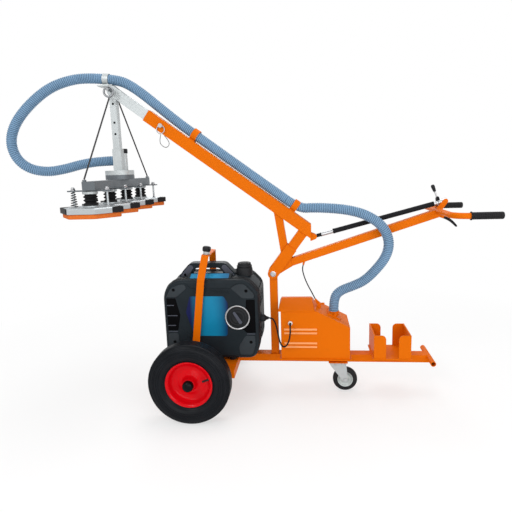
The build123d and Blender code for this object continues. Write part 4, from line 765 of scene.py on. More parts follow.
# road wheels
wheelSet = {"tyreSteps": 144, "rimSteps": 96, "capSteps": 64, "treadRadius": 200, "wallCentre": (-3.9, 159),
            "wallReach": 53.7, "ringProud": 1.7, "zigzags": 36, "zigzag": 1.5, "grooveDeep": 4.0,
            "grooves": (24, 12, 0, -12, -24), "sideRings": (-36, -14, -3, 9, 16, 28, 35, 42), "stemDeg": 12,
            "stemOut": 0.0955, "stemSide": 0.012, "stemLean": 0.45}


def tyreProfile():
    # a wall that is an arc with raised rings, the tread, the other wall
    middleAlong, middleRadius = wheelSet["wallCentre"]
    wall = [(31, 105.5), (31.7, 112), (31.7, 118)]
    for half in range(-96, 95):
        near = min(abs(half / 2 - ring) for ring in wheelSet["sideRings"])
        reach = wheelSet["wallReach"] + wheelSet["ringProud"] * max(0.0, min(1.0, 1.9 - 1.3 * near))
        angle = math.radians(half / 2)
        wall.append((middleAlong + reach * math.cos(angle), middleRadius + reach * math.sin(angle)))
    high = wheelSet["treadRadius"]
    deep = high - wheelSet["grooveDeep"]
    tread = []
    for groove in wheelSet["grooves"]:
        tread += [(groove + 2.6, high), (groove + 1.6, deep), (groove - 1.6, deep), (groove - 2.6, high)]
    return wall + tread + flipped(wall)


def zigzagged(along, radius, angle):
    if radius > wheelSet["treadRadius"] - 5 and abs(along) < 28:
        turn = angle * wheelSet["zigzags"] / (2 * math.pi) % 1
        along += wheelSet["zigzag"] * (4 * abs(turn - 0.5) - 1)
    return along, radius


rimProfile = [(33.5, 115), (35.4, 114.2), (36, 112.5), (35.2, 110), (33, 107), (30.5, 103.5), (27.5, 100.5),
              (22, 98.4), (14, 96.8), (7.5, 94), (2.5, 90), (-1, 85), (-2.8, 79), (-3.2, 72), (-2.4, 65),
              (-0.4, 58), (2.2, 52), (3.6, 48), (4.2, 44), (5.2, 40.5), (8.5, 37.5), (13, 35.4), (20, 33.4),
              (30, 31.6), (36, 30.6), (38.4, 29.4), (39, 27.5), (39, 16.3), (-42, 16.3), (-42, 27), (-41, 28),
              (-12, 28), (-4, 31), (-0.5, 36), (0.4, 44), (-1.2, 50), (-4.2, 58), (-6.3, 65), (-7.2, 72),
              (-6.9, 80), (-5.2, 87), (-3, 92.5), (-6, 95.6), (-14, 97.2), (-22, 98.4), (-27.5, 100.5),
              (-30.5, 103.5), (-33, 107), (-35.2, 110), (-36, 112.5), (-35.4, 114.2), (-33.5, 115),
              (-32.4, 113), (-32, 106), (-30, 104.8), (30, 104.8), (32, 106), (32.4, 113)]
hubCap = [(36.5, 23.4), (38, 26.6), (41, 26.8), (52, 26.3), (58, 24.7), (62.5, 20.9), (65.5, 14.9), (67, 7.2),
          (67.4, 0), (64.6, 0), (63.8, 9), (60, 18), (55, 22.9), (41, 23.4)]
valveStem = [(-3, 7.5), (0, 7.6), (3, 6.4), (8, 5.2), (20, 4.6), (21, 5.2), (30, 5.2), (32, 4.4), (32.4, 0)]
stemOutwards = slant(wheelSet["stemDeg"])
for side, sign in (("left", -1), ("right", 1)):
    centre = boxMiddle("tyre_" + side)
    outwards = across * sign
    body = "wheel_" + side
    name = side.capitalize()
    tyre = lathe(tyreProfile(), centre, across, wheelSet["tyreSteps"], True, zigzagged)
    dress("tyre" + name, tyre, "tyre_rubber", body, "tyre_" + side)
    rim = lathe(rimProfile, centre, outwards, wheelSet["rimSteps"], True)
    dress("rim" + name, rim, "red_paint", body, "rim_" + side)
    cap = lathe(hubCap, centre, outwards, wheelSet["capSteps"], True)
    dress("hubCap" + name, cap, "black_plastic", body, material=capGloss)
    stemFoot = centre + stemOutwards * wheelSet["stemOut"] + outwards * wheelSet["stemSide"]
    stem = lathe(valveStem, stemFoot, outwards * wheelSet["stemLean"] - stemOutwards, 24)
    dress("valveStem" + name, stem, "black_plastic", body)
print("road wheels made")


# swivel caster
casterSet = {"nutY": 0.026, "plateThick": 0.006, "boltX": 0.038, "boltY": 0.034, "washer": 1.4}
casterCentre = jointPlace("caster_roll")
casterTread = [(-17, 42), (-17, 57), (-14.5, 62), (-9, 64.6), (0, 65), (9, 64.6), (14.5, 62), (17, 57),
               (17, 42), (14, 40), (-14, 40)]
hubHalf = [(21.5, 6.3), (21.5, 13.5), (19, 14), (13, 15.5), (9.5, 19), (8.5, 22), (9.2, 29), (11, 33),
           (14.5, 35.5), (16.6, 37.5), (17.3, 41), (14, 41.6)]
casterRace = [(0.5, 34.5), (2, 35.5), (6, 35.5), (8, 34), (9, 32.8), (9, 20), (0.5, 20)]
tread = lathe(casterTread, casterCentre, across, 96, True)
dress("casterTread", tread, "caster_rubber", "caster_wheel", "caster_wheel")
hub = lathe(hubHalf + flipped(hubHalf), casterCentre, across, 72, True)
dress("casterHub", hub, "blower_alloy", "caster_wheel", "caster_wheel", material=casterHubGrey)
axleNuts = [hexHead(casterCentre + way * casterSet["nutY"], way, 16, 6) for way in (-across, across)]
dress("casterAxleNuts", gather(axleNuts), "zinc_steel", "caster_swivel")
plateUnder = jointPlace("caster_turn")
plateUnder.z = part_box("caster_plate")[1].z - casterSet["plateThick"]
washer = [(0, 8.5), (casterSet["washer"], 8.5), (1.5, 7)]
boltTip = [(0, 3.2), (9, 3.2), (10, 2.4)]
plateBolts = []
for dx, dy in corners(casterSet["boltX"], casterSet["boltY"]):
    head = plateUnder + Vector((dx, dy, 0))
    plateBolts += [lathe(washer, head, -upward, 24), lathe(boltTip, head, -upward, 16),
                   hexHead(head - upward * casterSet["washer"] * mm, -upward, 11, 5.5)]
dress("casterBolts", gather(plateBolts), "zinc_steel", "chassis")
dress("casterRace", lathe(casterRace, plateUnder, -upward, 64, True), "zinc_steel", "caster_swivel")
print("caster made")


# blower box: louvre hoods with a sloping top
blowerSet = {"louvreZ": (0.282, 0.302, 0.356, 0.376), "louvreBack": 0.444, "louvreLength": 168, "half": 0.108}
louvreLip = [(6.4, 0), (5.6, 1.6), (-0.4, 7.6), (-2.0, 7.4), (-1.4, 5.8), (2.6, 1.6), (2.8, 0)]
louvres = []
for sign in (-1, 1):
    for z in blowerSet["louvreZ"]:
        start = place(blowerSet["louvreBack"], sign * blowerSet["half"], z)
        ends = (0, blowerSet["louvreLength"]) if sign < 0 else (-blowerSet["louvreLength"], 0)
        louvres.append(prism(louvreLip, planeAt(start, upward, across * sign), *ends))
# the lips take the paler orange, a painted highlight
blowerLouvres = dress("blowerLouvres", gather(louvres), "orange_paint", "chassis", material=louvreHighlightOrange)
softEdges(blowerLouvres, 0.0008, 2)
print("blower made")


# generator
generatorSet = {"length": 483, "face": 0.145, "shell": 6.0, "recoilBack": 0.209, "recoilZ": 0.455,
                "carryBack": 0.040, "feetBack": 0.025, "footX": 0.145, "footY": 0.110, "bottom": 0.232,
                "bandY": (-0.116, -0.098, -0.080, 0.080, 0.098, 0.116), "bandHalf": 4, "pullDeg": -58,
                "carryHalf": 31}
caseOutline = [(13, 232), (455, 232), (483, 300), (483, 588), (423, 650), (72, 650), (18, 628), (-12, 570),
               (-12, 270)]
caseShoulder = ((145, 15), (142.6, 8), (137, 2.5), (129, 0))  # from the middle plane, inset there
shellOutline = [(24, 250), (446, 250), (466, 304), (466, 580), (416, 633), (376, 633), (350, 606), (136, 606),
                (112, 633), (76, 633), (28, 612), (5, 564), (5, 276)]
ventLeft = [(-12, 384), (60, 384), (76, 468), (55, 556), (-12, 556)]
ventRight = [(418, 372), (483, 372), (483, 548), (420, 548), (417, 464), (400, 392)]
ventShadeOutlines = [[(6, 384.5), (59.5, 384.5), (75.5, 468), (54.5, 555.5), (6, 555.5)],
              [(418.5, 372.5), (465, 372.5), (465, 547.5), (420.5, 547.5), (417.5, 464), (400.5, 392)]]
ventSlats = ((8, 50, 409), (8, 61, 462), (8, 46, 517), (10, 58, 377), (420, 462, 365))  # from, to, height
cornerPlates = [[(9, 564), (62, 564), (116, 610), (106, 629), (78, 629), (32, 609), (9, 566)],
                [(344, 610), (402, 556), (462, 556), (462, 579), (414, 629), (378, 629)],
                [(382, 256), (444, 256), (462, 304), (462, 358), (412, 358), (376, 300)],
                [(28, 256), (112, 256), (62, 326), (62, 370), (9, 370), (9, 280)]]
panelOutline = [(146, 356), (314, 356), (320, 366), (327, 530), (306, 567), (130, 567), (107, 482)]
sideRibs = [rectangle(150, 336, z, z + 3) for z in (586, 596)]
sideRibs += [[(u, z), (u + 26, z - 40), (u + 30, z - 40), (u + 4, z)]
             for u, z in ((82, 392), (92, 383), (102, 374), (112, 365))]
sideScrews = [(48, 602), (423, 595), (440, 324), (40, 324)]
screwProfile = [(-0.5, 8), (0.8, 8), (1.4, 7), (1.4, 4.2), (0.2, 4)]


def mirrored(outline):
    return [(generatorSet["length"] - u, v) for u, v in reversed(outline)]


def casePart(name, shape, material=casePlastic, soft=0.0, segments=2, replaced=()):
    # a piece of the generator; soft is how much its edges are rounded
    piece = dress(name, shape, "black_plastic", "chassis", *replaced, material=material)
    return softEdges(piece, soft, segments) if soft else piece


def generatorSide(name, lift, outwards, turn, panel):
    high = generatorSet["shell"]

    shell = casePart(name + "Shell", prism(rounded(turn(shellOutline), 30, 7), lift, -2, high))
    carve(shell, [prism(turn(vent), lift, -4, high + 4) for vent in (ventLeft, ventRight)])
    softEdges(shell, 0.0026)
    # near-black sheets in the vents: painted shade inside them
    shadeSheets = [prism(turn(vent), lift, -2, 0.8) for vent in ventShadeOutlines]
    casePart(name + "VentShadeSheets", gather(shadeSheets), ventShadeAndScrewPlastic)
    slats = [prism(turn(rectangle(start, end, z, z + 4)), lift, 0, high + 0.6) for start, end, z in ventSlats]
    casePart(name + "Slats", gather(slats), gripPlastic, 0.0009)
    # the corner plates in the lighter copy, painted light
    plates = [prism(rounded(turn(corner), 12), lift, high - 1, high + 2.6) for corner in cornerPlates]
    casePart(name + "Corners", gather(plates), litCornerPlastic, 0.0024, 3)
    plate = prism(rounded(turn(panelOutline), 8), lift, high - 1, high + 0.8)
    casePart(name + "Panel", plate, panel, 0.0005)
    ribs = [prism(turn(rib), lift, high - 1, high + 1.6) for rib in sideRibs]
    casePart(name + "Ribs", gather(ribs), soft=0.001)
    screws = [lathe(screwProfile, lift(u, v, high + 2.6), outwards, 28) for u, v in turn(sideScrews)]
    casePart(name + "Screws", gather(screws), ventShadeAndScrewPlastic)


generatorStart = generatorHigh.x - generatorSet["length"] * mm
caseOrigin = Vector((generatorStart, 0, 0))
bluePanel = blankPanel("blueBlankPanel", (0.001, 0.004, 0.06), (0.004, 0.2, 0.36), generatorStart + 0.228,
                       0.098)
blueStrip = blankPanel("blueBlankStrip", (0.001, 0.014, 0.1), (0.008, 0.24, 0.46), generatorStart + 0.205,
                       0.16)
middlePlane = planeAt(caseOrigin, onward, upward)
caseSteps = [(-far, amount) for far, amount in caseShoulder] + list(reversed(caseShoulder))
caseRings = [[middlePlane(u, v, far) for u, v in rounded(inset(caseOutline, amount), 30, 8)]
             for far, amount in caseSteps]
casePart("generatorBody", loft(caseRings), replaced=["generator_case"])
footHigh = (generatorSet["bottom"] - generatorLow.z) / mm
footProfile = [(0, 15), (1.5, 17.5), (footHigh - 4, 18), (footHigh, 21), (footHigh + 2, 21)]
feet = [lathe(footProfile, place(generatorSet["feetBack"] + dx, dy, generatorLow.z), upward, 32)
        for dx, dy in corners(generatorSet["footX"], generatorSet["footY"])]
dress("generatorFeet", gather(feet), "grip_rubber", "chassis")
nearFace = planeAt(caseOrigin - across * generatorSet["face"], onward, upward)
farFace = planeAt(Vector((generatorHigh.x, generatorSet["face"], 0)), -onward, upward)
generatorSide("generatorNear", nearFace, -across, list, bluePanel)
generatorSide("generatorFar", farFace, across, mirrored, casePlastic)
browOutline = [(-128, 640), (-60, 640), (-60, 668), (-72, 672), (-122, 650)]  # across, up
brow = prism(browOutline, planeAt(caseOrigin, across, upward), 114, 344)
casePart("generatorBrow", brow, soft=0.003, segments=3)
browUp = Vector((0, 50, 22)).normalized()
stripPlane = planeAt(Vector((generatorStart, -0.097, 0.661)), onward, browUp)
strip = prism(rounded(rectangle(128, 330, -20, 20), 6), stripPlane, -1, 1.2)
casePart("generatorStrip", strip, blueStrip, 0.0005)
bandOuter = rounded(inset(caseOutline, -3.2), 31, 8)
bandInner = rounded(inset(caseOutline, 2), 29, 8)
bandEdges = (-generatorSet["bandHalf"], generatorSet["bandHalf"])
bands = [ringPrism(bandOuter, bandInner, planeAt(caseOrigin + across * y, onward, upward), *bandEdges)
         for y in generatorSet["bandY"]]
casePart("generatorBands", gather(bands), None, 0.0018)
carryOutline = [(-163, 630), (-96, 630), (-84, 664), (-66, 690), (66, 690), (84, 664), (96, 630), (163, 630),
                (140, 668), (96, 716), (-96, 716), (-140, 668)]
carryPlane = planeAt(Vector((axleX + generatorSet["carryBack"], 0, 0)), onward, upward)
carryHalf = generatorSet["carryHalf"]
carryGrip = prism(rounded(carryOutline, 18), carryPlane, -carryHalf, carryHalf)
casePart("carryGrip", carryGrip, soft=0.007, segments=4)
carryCheek = [(-150, 640), (-104, 640), (-92, 668), (-74, 692), (-84, 706), (-98, 706), (-134, 666)]
cheekDepths = ((carryHalf - 2, carryHalf + 1.6), (-carryHalf - 1.6, 2 - carryHalf))
cheeks = [prism(rounded(cheek, 6), carryPlane, *depth)
          for cheek in (carryCheek, flipped(carryCheek)) for depth in cheekDepths]
casePart("carryCheeks", gather(cheeks), gripPlastic, 0.0016, 3)
gripScrew = [(0, 6.5), (1.2, 6.5), (1.6, 5.4), (1.6, 3), (0.6, 3)]
gripScrews = [lathe(gripScrew, carryPlane(u, 655, sign * (carryHalf + 1.4)), -across * sign, 24)
              for u in (-122, 122) for sign in (-1, 1)]
casePart("gripScrews", gather(gripScrews), ventShadeAndScrewPlastic)

recoil = place(generatorSet["recoilBack"], -generatorSet["face"], generatorSet["recoilZ"])
recoilDial = [(0, 57), (9.5, 57), (10.5, 55), (8.6, 53), (8.6, 44), (9.4, 42.5), (9.4, 40.5), (8.6, 39),
              (8.6, 31), (9.4, 29.5), (9.4, 27.5), (8.6, 26), (8.6, 0)]
recoilRing = [(0, 65), (9, 65), (11.5, 63.6), (12.4, 61), (11.6, 58.4), (9.5, 56.6), (0, 56.6)]
recoilCover = ["generator_recoil_cover"]
casePart("recoilDial", lathe(recoilDial, recoil, -across, 72), None, replaced=recoilCover)
steelRing = lathe(recoilRing, recoil, -across, 96, True)
dress("recoilRing", steelRing, "bright_steel", "chassis", *recoilCover)
pullOutline = rounded([(-34, -7), (34, -9), (38, 0), (34, 9), (-34, 7), (-37, 0)], 6)
pullPlane = planeAt(recoil, slant(generatorSet["pullDeg"]), slant(90 + generatorSet["pullDeg"]))
pull = prism(pullOutline, pullPlane, 8, 15.5)
casePart("recoilPull", pull, gripPlastic, 0.003, 3, recoilCover)
capFoot = boxMiddle("generator_fuel_cap")
capFoot.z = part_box("generator_fuel_cap")[0].z
fuelCap = [(0, 38.5), (1, 40), (6, 40), (8, 38.6), (9, 35.6), (19, 34.6), (21.6, 32), (22, 29), (20.6, 27),
           (20.8, 19), (23.4, 17.5), (24, 15), (24, 0)]
fillerCollar = [(-44, 46), (-30, 45), (-8, 42), (-3, 40), (-1.2, 38.6), (-1.2, 20), (-44, 20)]


def scalloped(count, deep, low, high):
    # takes hollows out of the radii between low and high
    def shape(along, radius, angle):
        hollow = deep * (0.5 + 0.5 * math.cos(count * angle))
        return along, radius - (hollow if low < radius < high else 0)
    return shape


cap = lathe(fuelCap, capFoot, upward, 216, shape=scalloped(36, 1.3, 34, 36))
dress("fuelCap", cap, "black_plastic", "fuel_cap", "generator_fuel_cap")
casePart("fillerCollar", lathe(fillerCollar, capFoot, upward, 64, True), None)
endPlane = planeAt(Vector((generatorHigh.x, 0, 0)), across, upward)
endPanel = prism(rounded(rectangle(-104, 104, 318, 586), 18), endPlane, -2, 3)
casePart("generatorEnd", endPanel, None, 0.0015)
endRibs = [prism(rectangle(-88, 88, z, z + 5), endPlane, 2, 6.5)
           for z in (334, 348, 362, 376, 500, 514, 528, 542, 556)]
casePart("generatorEndRibs", gather(endRibs), soft=0.0015)
socketRing = lathe([(0, 30), (5, 30), (7, 28), (7, 20), (0, 20)], plugFace, onward, 56, True)
casePart("plugSocket", socketRing)
print("generator made")


# knob of the hoop: bright collar and black star top
hoopSet = {"lean": 7, "footBack": -0.020, "footZ": 0.238, "high": 0.536, "knobY": -0.065}
hoopUp = slant(90 - hoopSet["lean"])
knobSeat = place(hoopSet["footBack"], hoopSet["knobY"], hoopSet["footZ"]) + hoopUp * hoopSet["high"]
knobCollar = [(-12, 5), (0.3, 5), (0.3, 16.2), (1.4, 17.2), (6, 17.2), (7, 16), (9, 16), (10, 17.2),
              (15, 17.2), (16, 16.2)]
knobTop = [(16.3, 15), (17, 20), (20, 22), (34, 22), (39, 20.4), (41.6, 16), (42.3, 0)]
dress("knobCollar", lathe(knobCollar, knobSeat, hoopUp), "zinc_steel", "hoop_knob", "hold_down_knob")
star = lathe(knobTop, knobSeat, hoopUp, 96, shape=scalloped(8, 1.6, 19, 23))
dress("knobTop", star, "black_plastic", "hoop_knob", "hold_down_knob")


# hand grips, levers and strut
gripSet = {"radius": 16.5, "groove": 15.5, "grooves": 16, "pitch": 7.6}
gripLow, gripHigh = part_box("handle_grips")
gripProfile = [(0, 14.2), (0, 18.4), (1, 19.4), (4, 19.4), (5, 18.4), (6, 16.6)]
for i in range(gripSet["grooves"]):
    start = 8 + i * gripSet["pitch"]
    gripProfile += [(start, gripSet["radius"]), (start + 1, gripSet["groove"]),
                    (start + 2.6, gripSet["groove"]), (start + 3.6, gripSet["radius"])]
gripProfile += [(134, gripSet["radius"]), (138, 15.4), (140, 12.5), (140, 0)]
gripY = gripHigh.y - gripSet["radius"] * mm
gripFeet = [Vector((gripLow.x, y, (gripLow.z + gripHigh.z) / 2)) for y in (-gripY, gripY)]
grips = [lathe(gripProfile, foot, onward) for foot in gripFeet]
dress("handleGrips", gather(grips), "grip_rubber", "handle", "handle_grips")

strutSet = {"foot": (0.604, 0, 0.845), "head": (1.250, 0, 1.012), "cover": 54, "ear": (636, 24),
            "leverDeg": 112}
strutFoot = place(*strutSet["foot"])
strutHead = place(*strutSet["head"])
strutAlong = (strutHead - strutFoot).normalized()
strutUp = strutAlong.cross(across)
strutLength = (strutHead - strutFoot).length / mm
neckSleeve = [(13.5, 8.5), (14, 9.4), (20, 9.4), (21, 9.0), (24, 9.0), (25, 9.4), (28, 9.4), (29, 9.0),
              (32, 9.0), (33, 9.6), (36, 10.4), (38, 10.4), (39, 9.9)]
dress("strutNeck", lathe(neckSleeve, strutFoot, strutAlong), "black_metal", "strut_rod")
tubeMouth = [(99.4, 10.4), (99.4, 12.6), (100, 13.2), (108, 13.2), (109, 12.5)]
dress("strutMouth", lathe(tubeMouth, strutFoot, strutAlong), "black_metal", "strut")
headStart = strutLength - strutSet["cover"]
headCover = [(headStart, 12.5), (headStart, 13.4), (headStart + 0.8, 13.9), (headStart + 18, 13.9),
             (headStart + 19, 13.5), (headStart + 22, 13.5), (headStart + 23, 13.9), (strutLength + 9, 13.9),
             (strutLength + 10.4, 12.6), (strutLength + 10.4, 0)]
dress("strutHead", lathe(headCover, strutFoot, strutAlong), "bright_steel", "strut")
earAlong, earUp = strutSet["ear"]
leverEar = strutFoot + (strutAlong * earAlong + strutUp * earUp) * mm
leverAlong = slant(strutSet["leverDeg"])
leverShaft = [(2, 4), (33, 4), (33, 5), (36, 5)]
leverEye = [(-4.5, 7), (-4, 8), (4, 8), (4.5, 7)]
leverKnob = [(34, 5.2), (35, 6.4), (40, 7.4), (55, 9.0), (62, 9.3), (67, 8.0), (70, 5.2), (71, 0)]
leverMetal = gather([lathe(leverShaft, leverEar, leverAlong, 24), lathe(leverEye, leverEar, across, 32)])
dress("strutLeverShaft", leverMetal, "bright_steel", "strut_lever", "strut_lever")
knob = lathe(leverKnob, leverEar, leverAlong, 32)
dress("strutLeverKnob", knob, "black_plastic", "strut_lever", "strut_lever")

bladeSet = {"deg": -33.7, "long": 86, "bow": 6, "drop": 3, "half": 8.6, "taper": 3.4, "thick": 4.6,
            "steps": 24}
vacuumPivot = jointPlace("vacuum_lever_pull")
bladeEdge = []
for i in range(bladeSet["steps"] + 1):
    t = i / bladeSet["steps"]
    middle = bladeSet["bow"] * math.sin(math.pi * t) - bladeSet["drop"] * t
    bladeEdge.append((bladeSet["long"] * t, middle, bladeSet["half"] - bladeSet["taper"] * t))
bladeOutline = [(u, v - half) for u, v, half in bladeEdge]
bladeOutline.append((92, -3))
bladeOutline += [(u, v + half) for u, v, half in reversed(bladeEdge)]
bladeOutline += [(-6, 6), (-8.6, 0), (-6, -6)]
bladePlane = planeAt(vacuumPivot, slant(bladeSet["deg"]), slant(90 + bladeSet["deg"]))
blade = prism(bladeOutline, bladePlane, -bladeSet["thick"], bladeSet["thick"])
softEdges(dress("vacuumLever", blade, "black_metal", "vacuum_lever", "vacuum_lever"), 0.0016)

boltHalf = 31
boltShapes = [lathe([(-boltHalf, 8), (boltHalf, 8)], boomPivot, across, 32)]
for way in (-across, across):
    face = boomPivot + way * boltHalf * mm
    boltShapes += [lathe([(0, 15), (2, 15), (2.4, 14)], face, way, 40),
                   hexHead(face + way * 0.002, way, 22, 8.5, 1.4)]
dress("pivotBolt", gather(boltShapes), "bright_steel", "boom", "pivot_bolt")
print("levers and strut made")


# suction head
headSet = {"halfLength": 150, "corner": 65, "halfWidth": 112, "plateLow": 1024, "plateTop": 1050,
           "bracketZ": 1.1207, "bracketThick": 0.006, "bumperStart": 118, "bumperProud": 3,
           "bumperWing": 0.95, "sealInset": 4, "sealWidth": 30, "sealThick": 22, "rodX": 0.082,
           "pipeX": 0.014, "pipeY": 0.046, "pipeTop": 1.304}
bellowsSet = {"rise": 0.006, "collar": 8, "folds": 3, "stepsPerFold": 12, "radius": 29, "wave": 4}
springSet = {"turns": 6, "stepsPerTurn": 24, "footRadius": 0.015, "topRadius": 0.009, "wire": 0.0019,
             "gap": 0.0017}
padCorners = ((1, 0, 0), (0, 1, 1), (0, -1, 1), (-1, 0, 0), (0, -1, -1), (0, 1, -1))
hexagon = [(end * headSet["halfLength"] + corner * headSet["corner"], side * headSet["halfWidth"])
           for end, corner, side in padCorners]
plateTop = headSet["plateTop"] * mm
bellowsFootZ = plateTop + bellowsSet["rise"]
bellowsHigh = (headSet["bracketZ"] - bellowsFootZ) / mm
beamLow = headSet["bracketZ"] + headSet["bracketThick"]


def makeBumperOutlines():
    # the front bumper has wings along the pad's slanting sides
    proud, start, wing = headSet["bumperProud"], headSet["bumperStart"], headSet["bumperWing"]
    taper = Vector((headSet["halfLength"] - headSet["corner"], headSet["halfWidth"]))
    half = taper.y * (headSet["halfLength"] - start) / taper.x
    tip = (headSet["halfLength"] + proud, 4)
    end = Vector((headSet["halfLength"] - wing * taper.x, wing * taper.y))
    outer = end + Vector((taper.y, taper.x)).normalized() * proud
    outlines = []
    for sign, edge in ((-1, [(start, half), end, outer, tip]), (1, [(start, half + proud), tip])):
        outlines.append([(sign * x, -y) for x, y in edge] + [(sign * x, y) for x, y in reversed(edge)])
    return outlines


bumperOutlines = makeBumperOutlines()


def bellowsProfile():
    # soft folds between two collars
    edge, steps = bellowsSet["collar"], bellowsSet["stepsPerFold"]
    profile = [(0, 15), (0, 32.5), (1, 33), (edge - 1, 33), (edge, 32.4)]
    fold = (bellowsHigh - 2 * edge) / bellowsSet["folds"]
    for i in range(bellowsSet["folds"] * steps + 1):
        wave = bellowsSet["wave"] * math.cos(2 * math.pi * i / steps)
        profile.append((edge + i / steps * fold, bellowsSet["radius"] + wave))
    return profile + [(bellowsHigh - edge + 1, 33), (bellowsHigh - 1, 33), (bellowsHigh, 32.5),
                      (bellowsHigh, 15)]


def springMarks(foot, height):
    count = springSet["turns"] * springSet["stepsPerTurn"]
    marks = []
    for i in range(count + 1):
        angle = 2 * math.pi * i / springSet["stepsPerTurn"]
        radius = springSet["footRadius"] + (springSet["topRadius"] - springSet["footRadius"]) * i / count
        marks.append(foot + Vector((radius * math.cos(angle), radius * math.sin(angle), height * i / count)))
    return marks


def padNuts(middle):
    # washers and acorn nuts on the guide rods, and nuts at their feet
    shapes = []
    for dx in (-headSet["rodX"], headSet["rodX"]):
        foot = Vector((middle.x + dx, middle.y, beamLow + 0.0003))
        plate = Vector((foot.x, foot.y, plateTop))
        shapes += [lathe([(0, 11.5), (1.6, 11.5), (1.8, 10.5)], foot, upward, 32),
                   hexHead(foot, upward, 18.4, 9),
                   lathe([(8.6, 8.4), (10.5, 8.2), (13, 6.6), (14.6, 3.6), (15, 0)], foot, upward, 32),
                   hexHead(plate, upward, 16, 6)]
    return gather(shapes)


sealOuter = rounded(inset(hexagon, headSet["sealInset"]), 10)
sealInner = rounded(inset(hexagon, headSet["sealInset"] + headSet["sealWidth"]), 10)
collar = [(bellowsHigh - 12, 33.4), (bellowsHigh - 11, 35), (bellowsHigh, 35), (bellowsHigh, 20),
          (bellowsHigh - 12, 20)]
springHigh = headSet["bracketZ"] - plateTop - 2 * springSet["gap"]
for number in range(1, 5):
    pad = f"pad_{number}"
    middle = boxMiddle(f"pad_seal_{number}")
    flat = planeAt(Vector((middle.x, middle.y, 0)), onward, across)
    low, top = headSet["plateLow"], headSet["plateTop"]
    foamRing = ringPrism(sealOuter, sealInner, flat, low - headSet["sealThick"], low)
    seal = dress(f"padSeal{number}", foamRing, "seal_foam", pad, f"pad_seal_{number}")
    softEdges(seal, 0.005, 4)
    bumpers = gather([prism(rounded(outline, 4), flat, low + 0.2, top) for outline in bumperOutlines])
    softEdges(dress(f"padBumpers{number}", bumpers, "grip_rubber", pad, f"pad_bumpers_{number}"), 0.003)
    dress(f"padNuts{number}", padNuts(middle), "bright_steel", pad)
    foot = Vector((middle.x, middle.y, bellowsFootZ))
    folds = lathe(bellowsProfile(), foot, upward, 64)
    bellows = dress(f"bellows{number}", folds, "grip_rubber", None, "bellows")
    foot + upward * (bellowsHigh - 8) * mm
    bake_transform(bellows)
    dress(f"bellowsCollar{number}", lathe(collar, foot, upward, 64, True), "zinc_steel", "head")
    springFoot = Vector((middle.x - headSet["rodX"], middle.y, plateTop + springSet["gap"]))
    coil = tube(springMarks(springFoot, springHigh), lambda i, angle: springSet["wire"], 10)
    spring = dress(f"padSpring{number}", coil, "black_metal", None, "pad_springs")
    springFoot + upward * springHigh
    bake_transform(spring)
pipeTop = Vector((mastPivot.x + headSet["pipeX"], headSet["pipeY"], headSet["pipeTop"]))
pipeCap = [(-2, 18.3), (-1.4, 19), (18, 19), (20.6, 18), (21.4, 15), (21.4, 0)]
dress("pipeCap", lathe(pipeCap, pipeTop, upward, 48), "black_plastic", "mast")
print("suction head made")


# weld beads
weldSet = {"step": 0.0015, "radius": 2.1, "ripple": 0.45, "riser": 0.0255, "riserUp": 0.264, "post": 0.0205,
           "postZ": 0.2125, "frameZ": (0.172, 0.212)}
squareCorners = ((-1, -1), (1, -1), (1, 1), (-1, 1))
boomSeams = (((0.1267, 0.2645), (0.1833, 0.2645), 0.0205), ((0.0315, 0.1137), (0.0315, 0.1703), 0.0205),
             ((-0.025, 0.1705), (0.025, 0.1705), 0.0255))  # two ends along and up the boom, how far across
frameSeams = ((0.198, 0.0305), (-0.038, 0.2575), (0.038, 0.2575))  # from the axle, how far across


def weldBead(start, end):
    marks = evenSteps([start, end], max(4, round((end - start).length / weldSet["step"])))

    def radius(i, angle):
        return (weldSet["radius"] + weldSet["ripple"] * math.cos(2 * math.pi * i / 3)) * mm

    return tube(marks, radius, 8)


def weldLoop(places):
    return [weldBead(a, b) for a, b in zip(places, places[1:] + places[:1])]


riser, post = weldSet["riser"], weldSet["post"]
boomWelds = weldLoop([boomPoint(u * riser, weldSet["riserUp"], v * riser) for u, v in squareCorners])
postFoot = Vector((boomPivot.x, 0, weldSet["postZ"]))
frameWelds = weldLoop([postFoot + (onward * u + across * v) * post for u, v in squareCorners])
for sign in (-1, 1):
    for start, end, y in boomSeams:
        boomWelds.append(weldBead(boomPoint(*start, sign * y), boomPoint(*end, sign * y)))
    for back, y in frameSeams:
        frameWelds.append(weldBead(*(place(back, sign * y, z) for z in weldSet["frameZ"])))
dress("boomWelds", gather(boomWelds), "orange_paint", "boom")
dress("frameWelds", gather(frameWelds), "orange_paint", "chassis")
print("welds made")


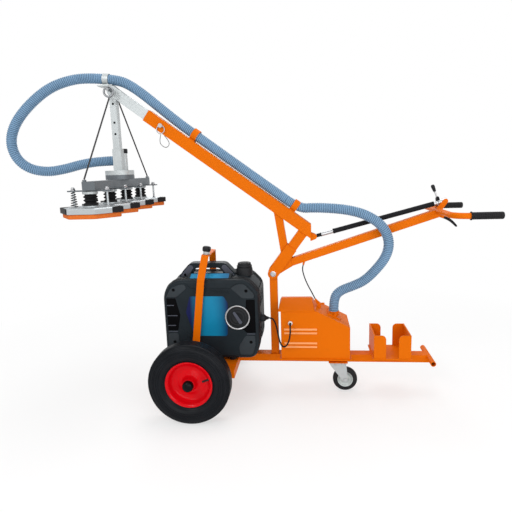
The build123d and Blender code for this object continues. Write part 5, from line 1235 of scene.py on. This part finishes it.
# floor, light and backdrop
lampSet = (("keyLamp", (-2.2, -3.6, 3.6), 1.5, 56), ("fillLamp", (2.6, -3.4, 1.6), 2.0, 40),
           ("frontLamp", (0.2, -4.4, 1.5), 2.4, 36), ("topLamp", (0.3, 0.6, 4.6), 2.6, 66),
           ("backLamp", (-1.0, 4.2, 2.6), 2.4, 40))
stageSet = {"floor": 0.9, "glow": 0.55, "fadeFrom": 1.0, "fadeTo": 2.6, "sky": 0.6, "size": 30,
            "aim": (0, 0, 0.7)}


def makeFloor():
    make = Finish("paleFloor")
    matt = make.node("ShaderNodeBsdfDiffuse", {}, Color=(stageSet["floor"],) * 3)
    glow = make.node("ShaderNodeEmission", {}, Color=(1, 1, 1), Strength=1.0)
    at = make.place()
    x, y = make.axis(at, "X"), make.axis(at, "Y")
    fade = make.fit(x * x + y * y, stageSet["fadeFrom"] ** 2, stageSet["fadeTo"] ** 2, stageSet["glow"], 1.0)
    both = make.node("ShaderNodeMixShader", {}, fade * make.openView(), matt, glow)
    make.node("ShaderNodeOutputMaterial", {}, Surface=both)
    size = stageSet["size"]
    square = [(-size, -size, 0), (size, -size, 0), (size, size, 0), (-size, size, 0)]
    addPiece("floor", square, [(0, 1, 2, 3)], make.holder)


def makeSky():
    make = Finish("studio", bpy.data.worlds.new("studio"))
    light = make.node("ShaderNodeBackground", {}, Color=(1, 1, 1), Strength=stageSet["sky"])
    white = make.node("ShaderNodeBackground", {}, Color=(1, 1, 1), Strength=1.0)
    both = make.node("ShaderNodeMixShader", {}, make.openView(), light, white)
    make.node("ShaderNodeOutputWorld", {}, Surface=both)
    bpy.context.scene.world = make.holder


def makeLamp(name, spot, size, power):
    data = bpy.data.lights.new(name, "AREA")
    data.size = size
    data.energy = power
    lamp = bpy.data.objects.new(name, data)
    lamp.location = spot
    lamp.rotation_euler = (Vector(stageSet["aim"]) - Vector(spot)).to_track_quat("-Z", "Y").to_euler()
    bpy.context.scene.collection.objects.link(lamp)


makeFloor()
makeSky()
for lamp in lampSet:
    makeLamp(*lamp)
bpy.context.scene.view_settings.view_transform = "Standard"
print("stage made")
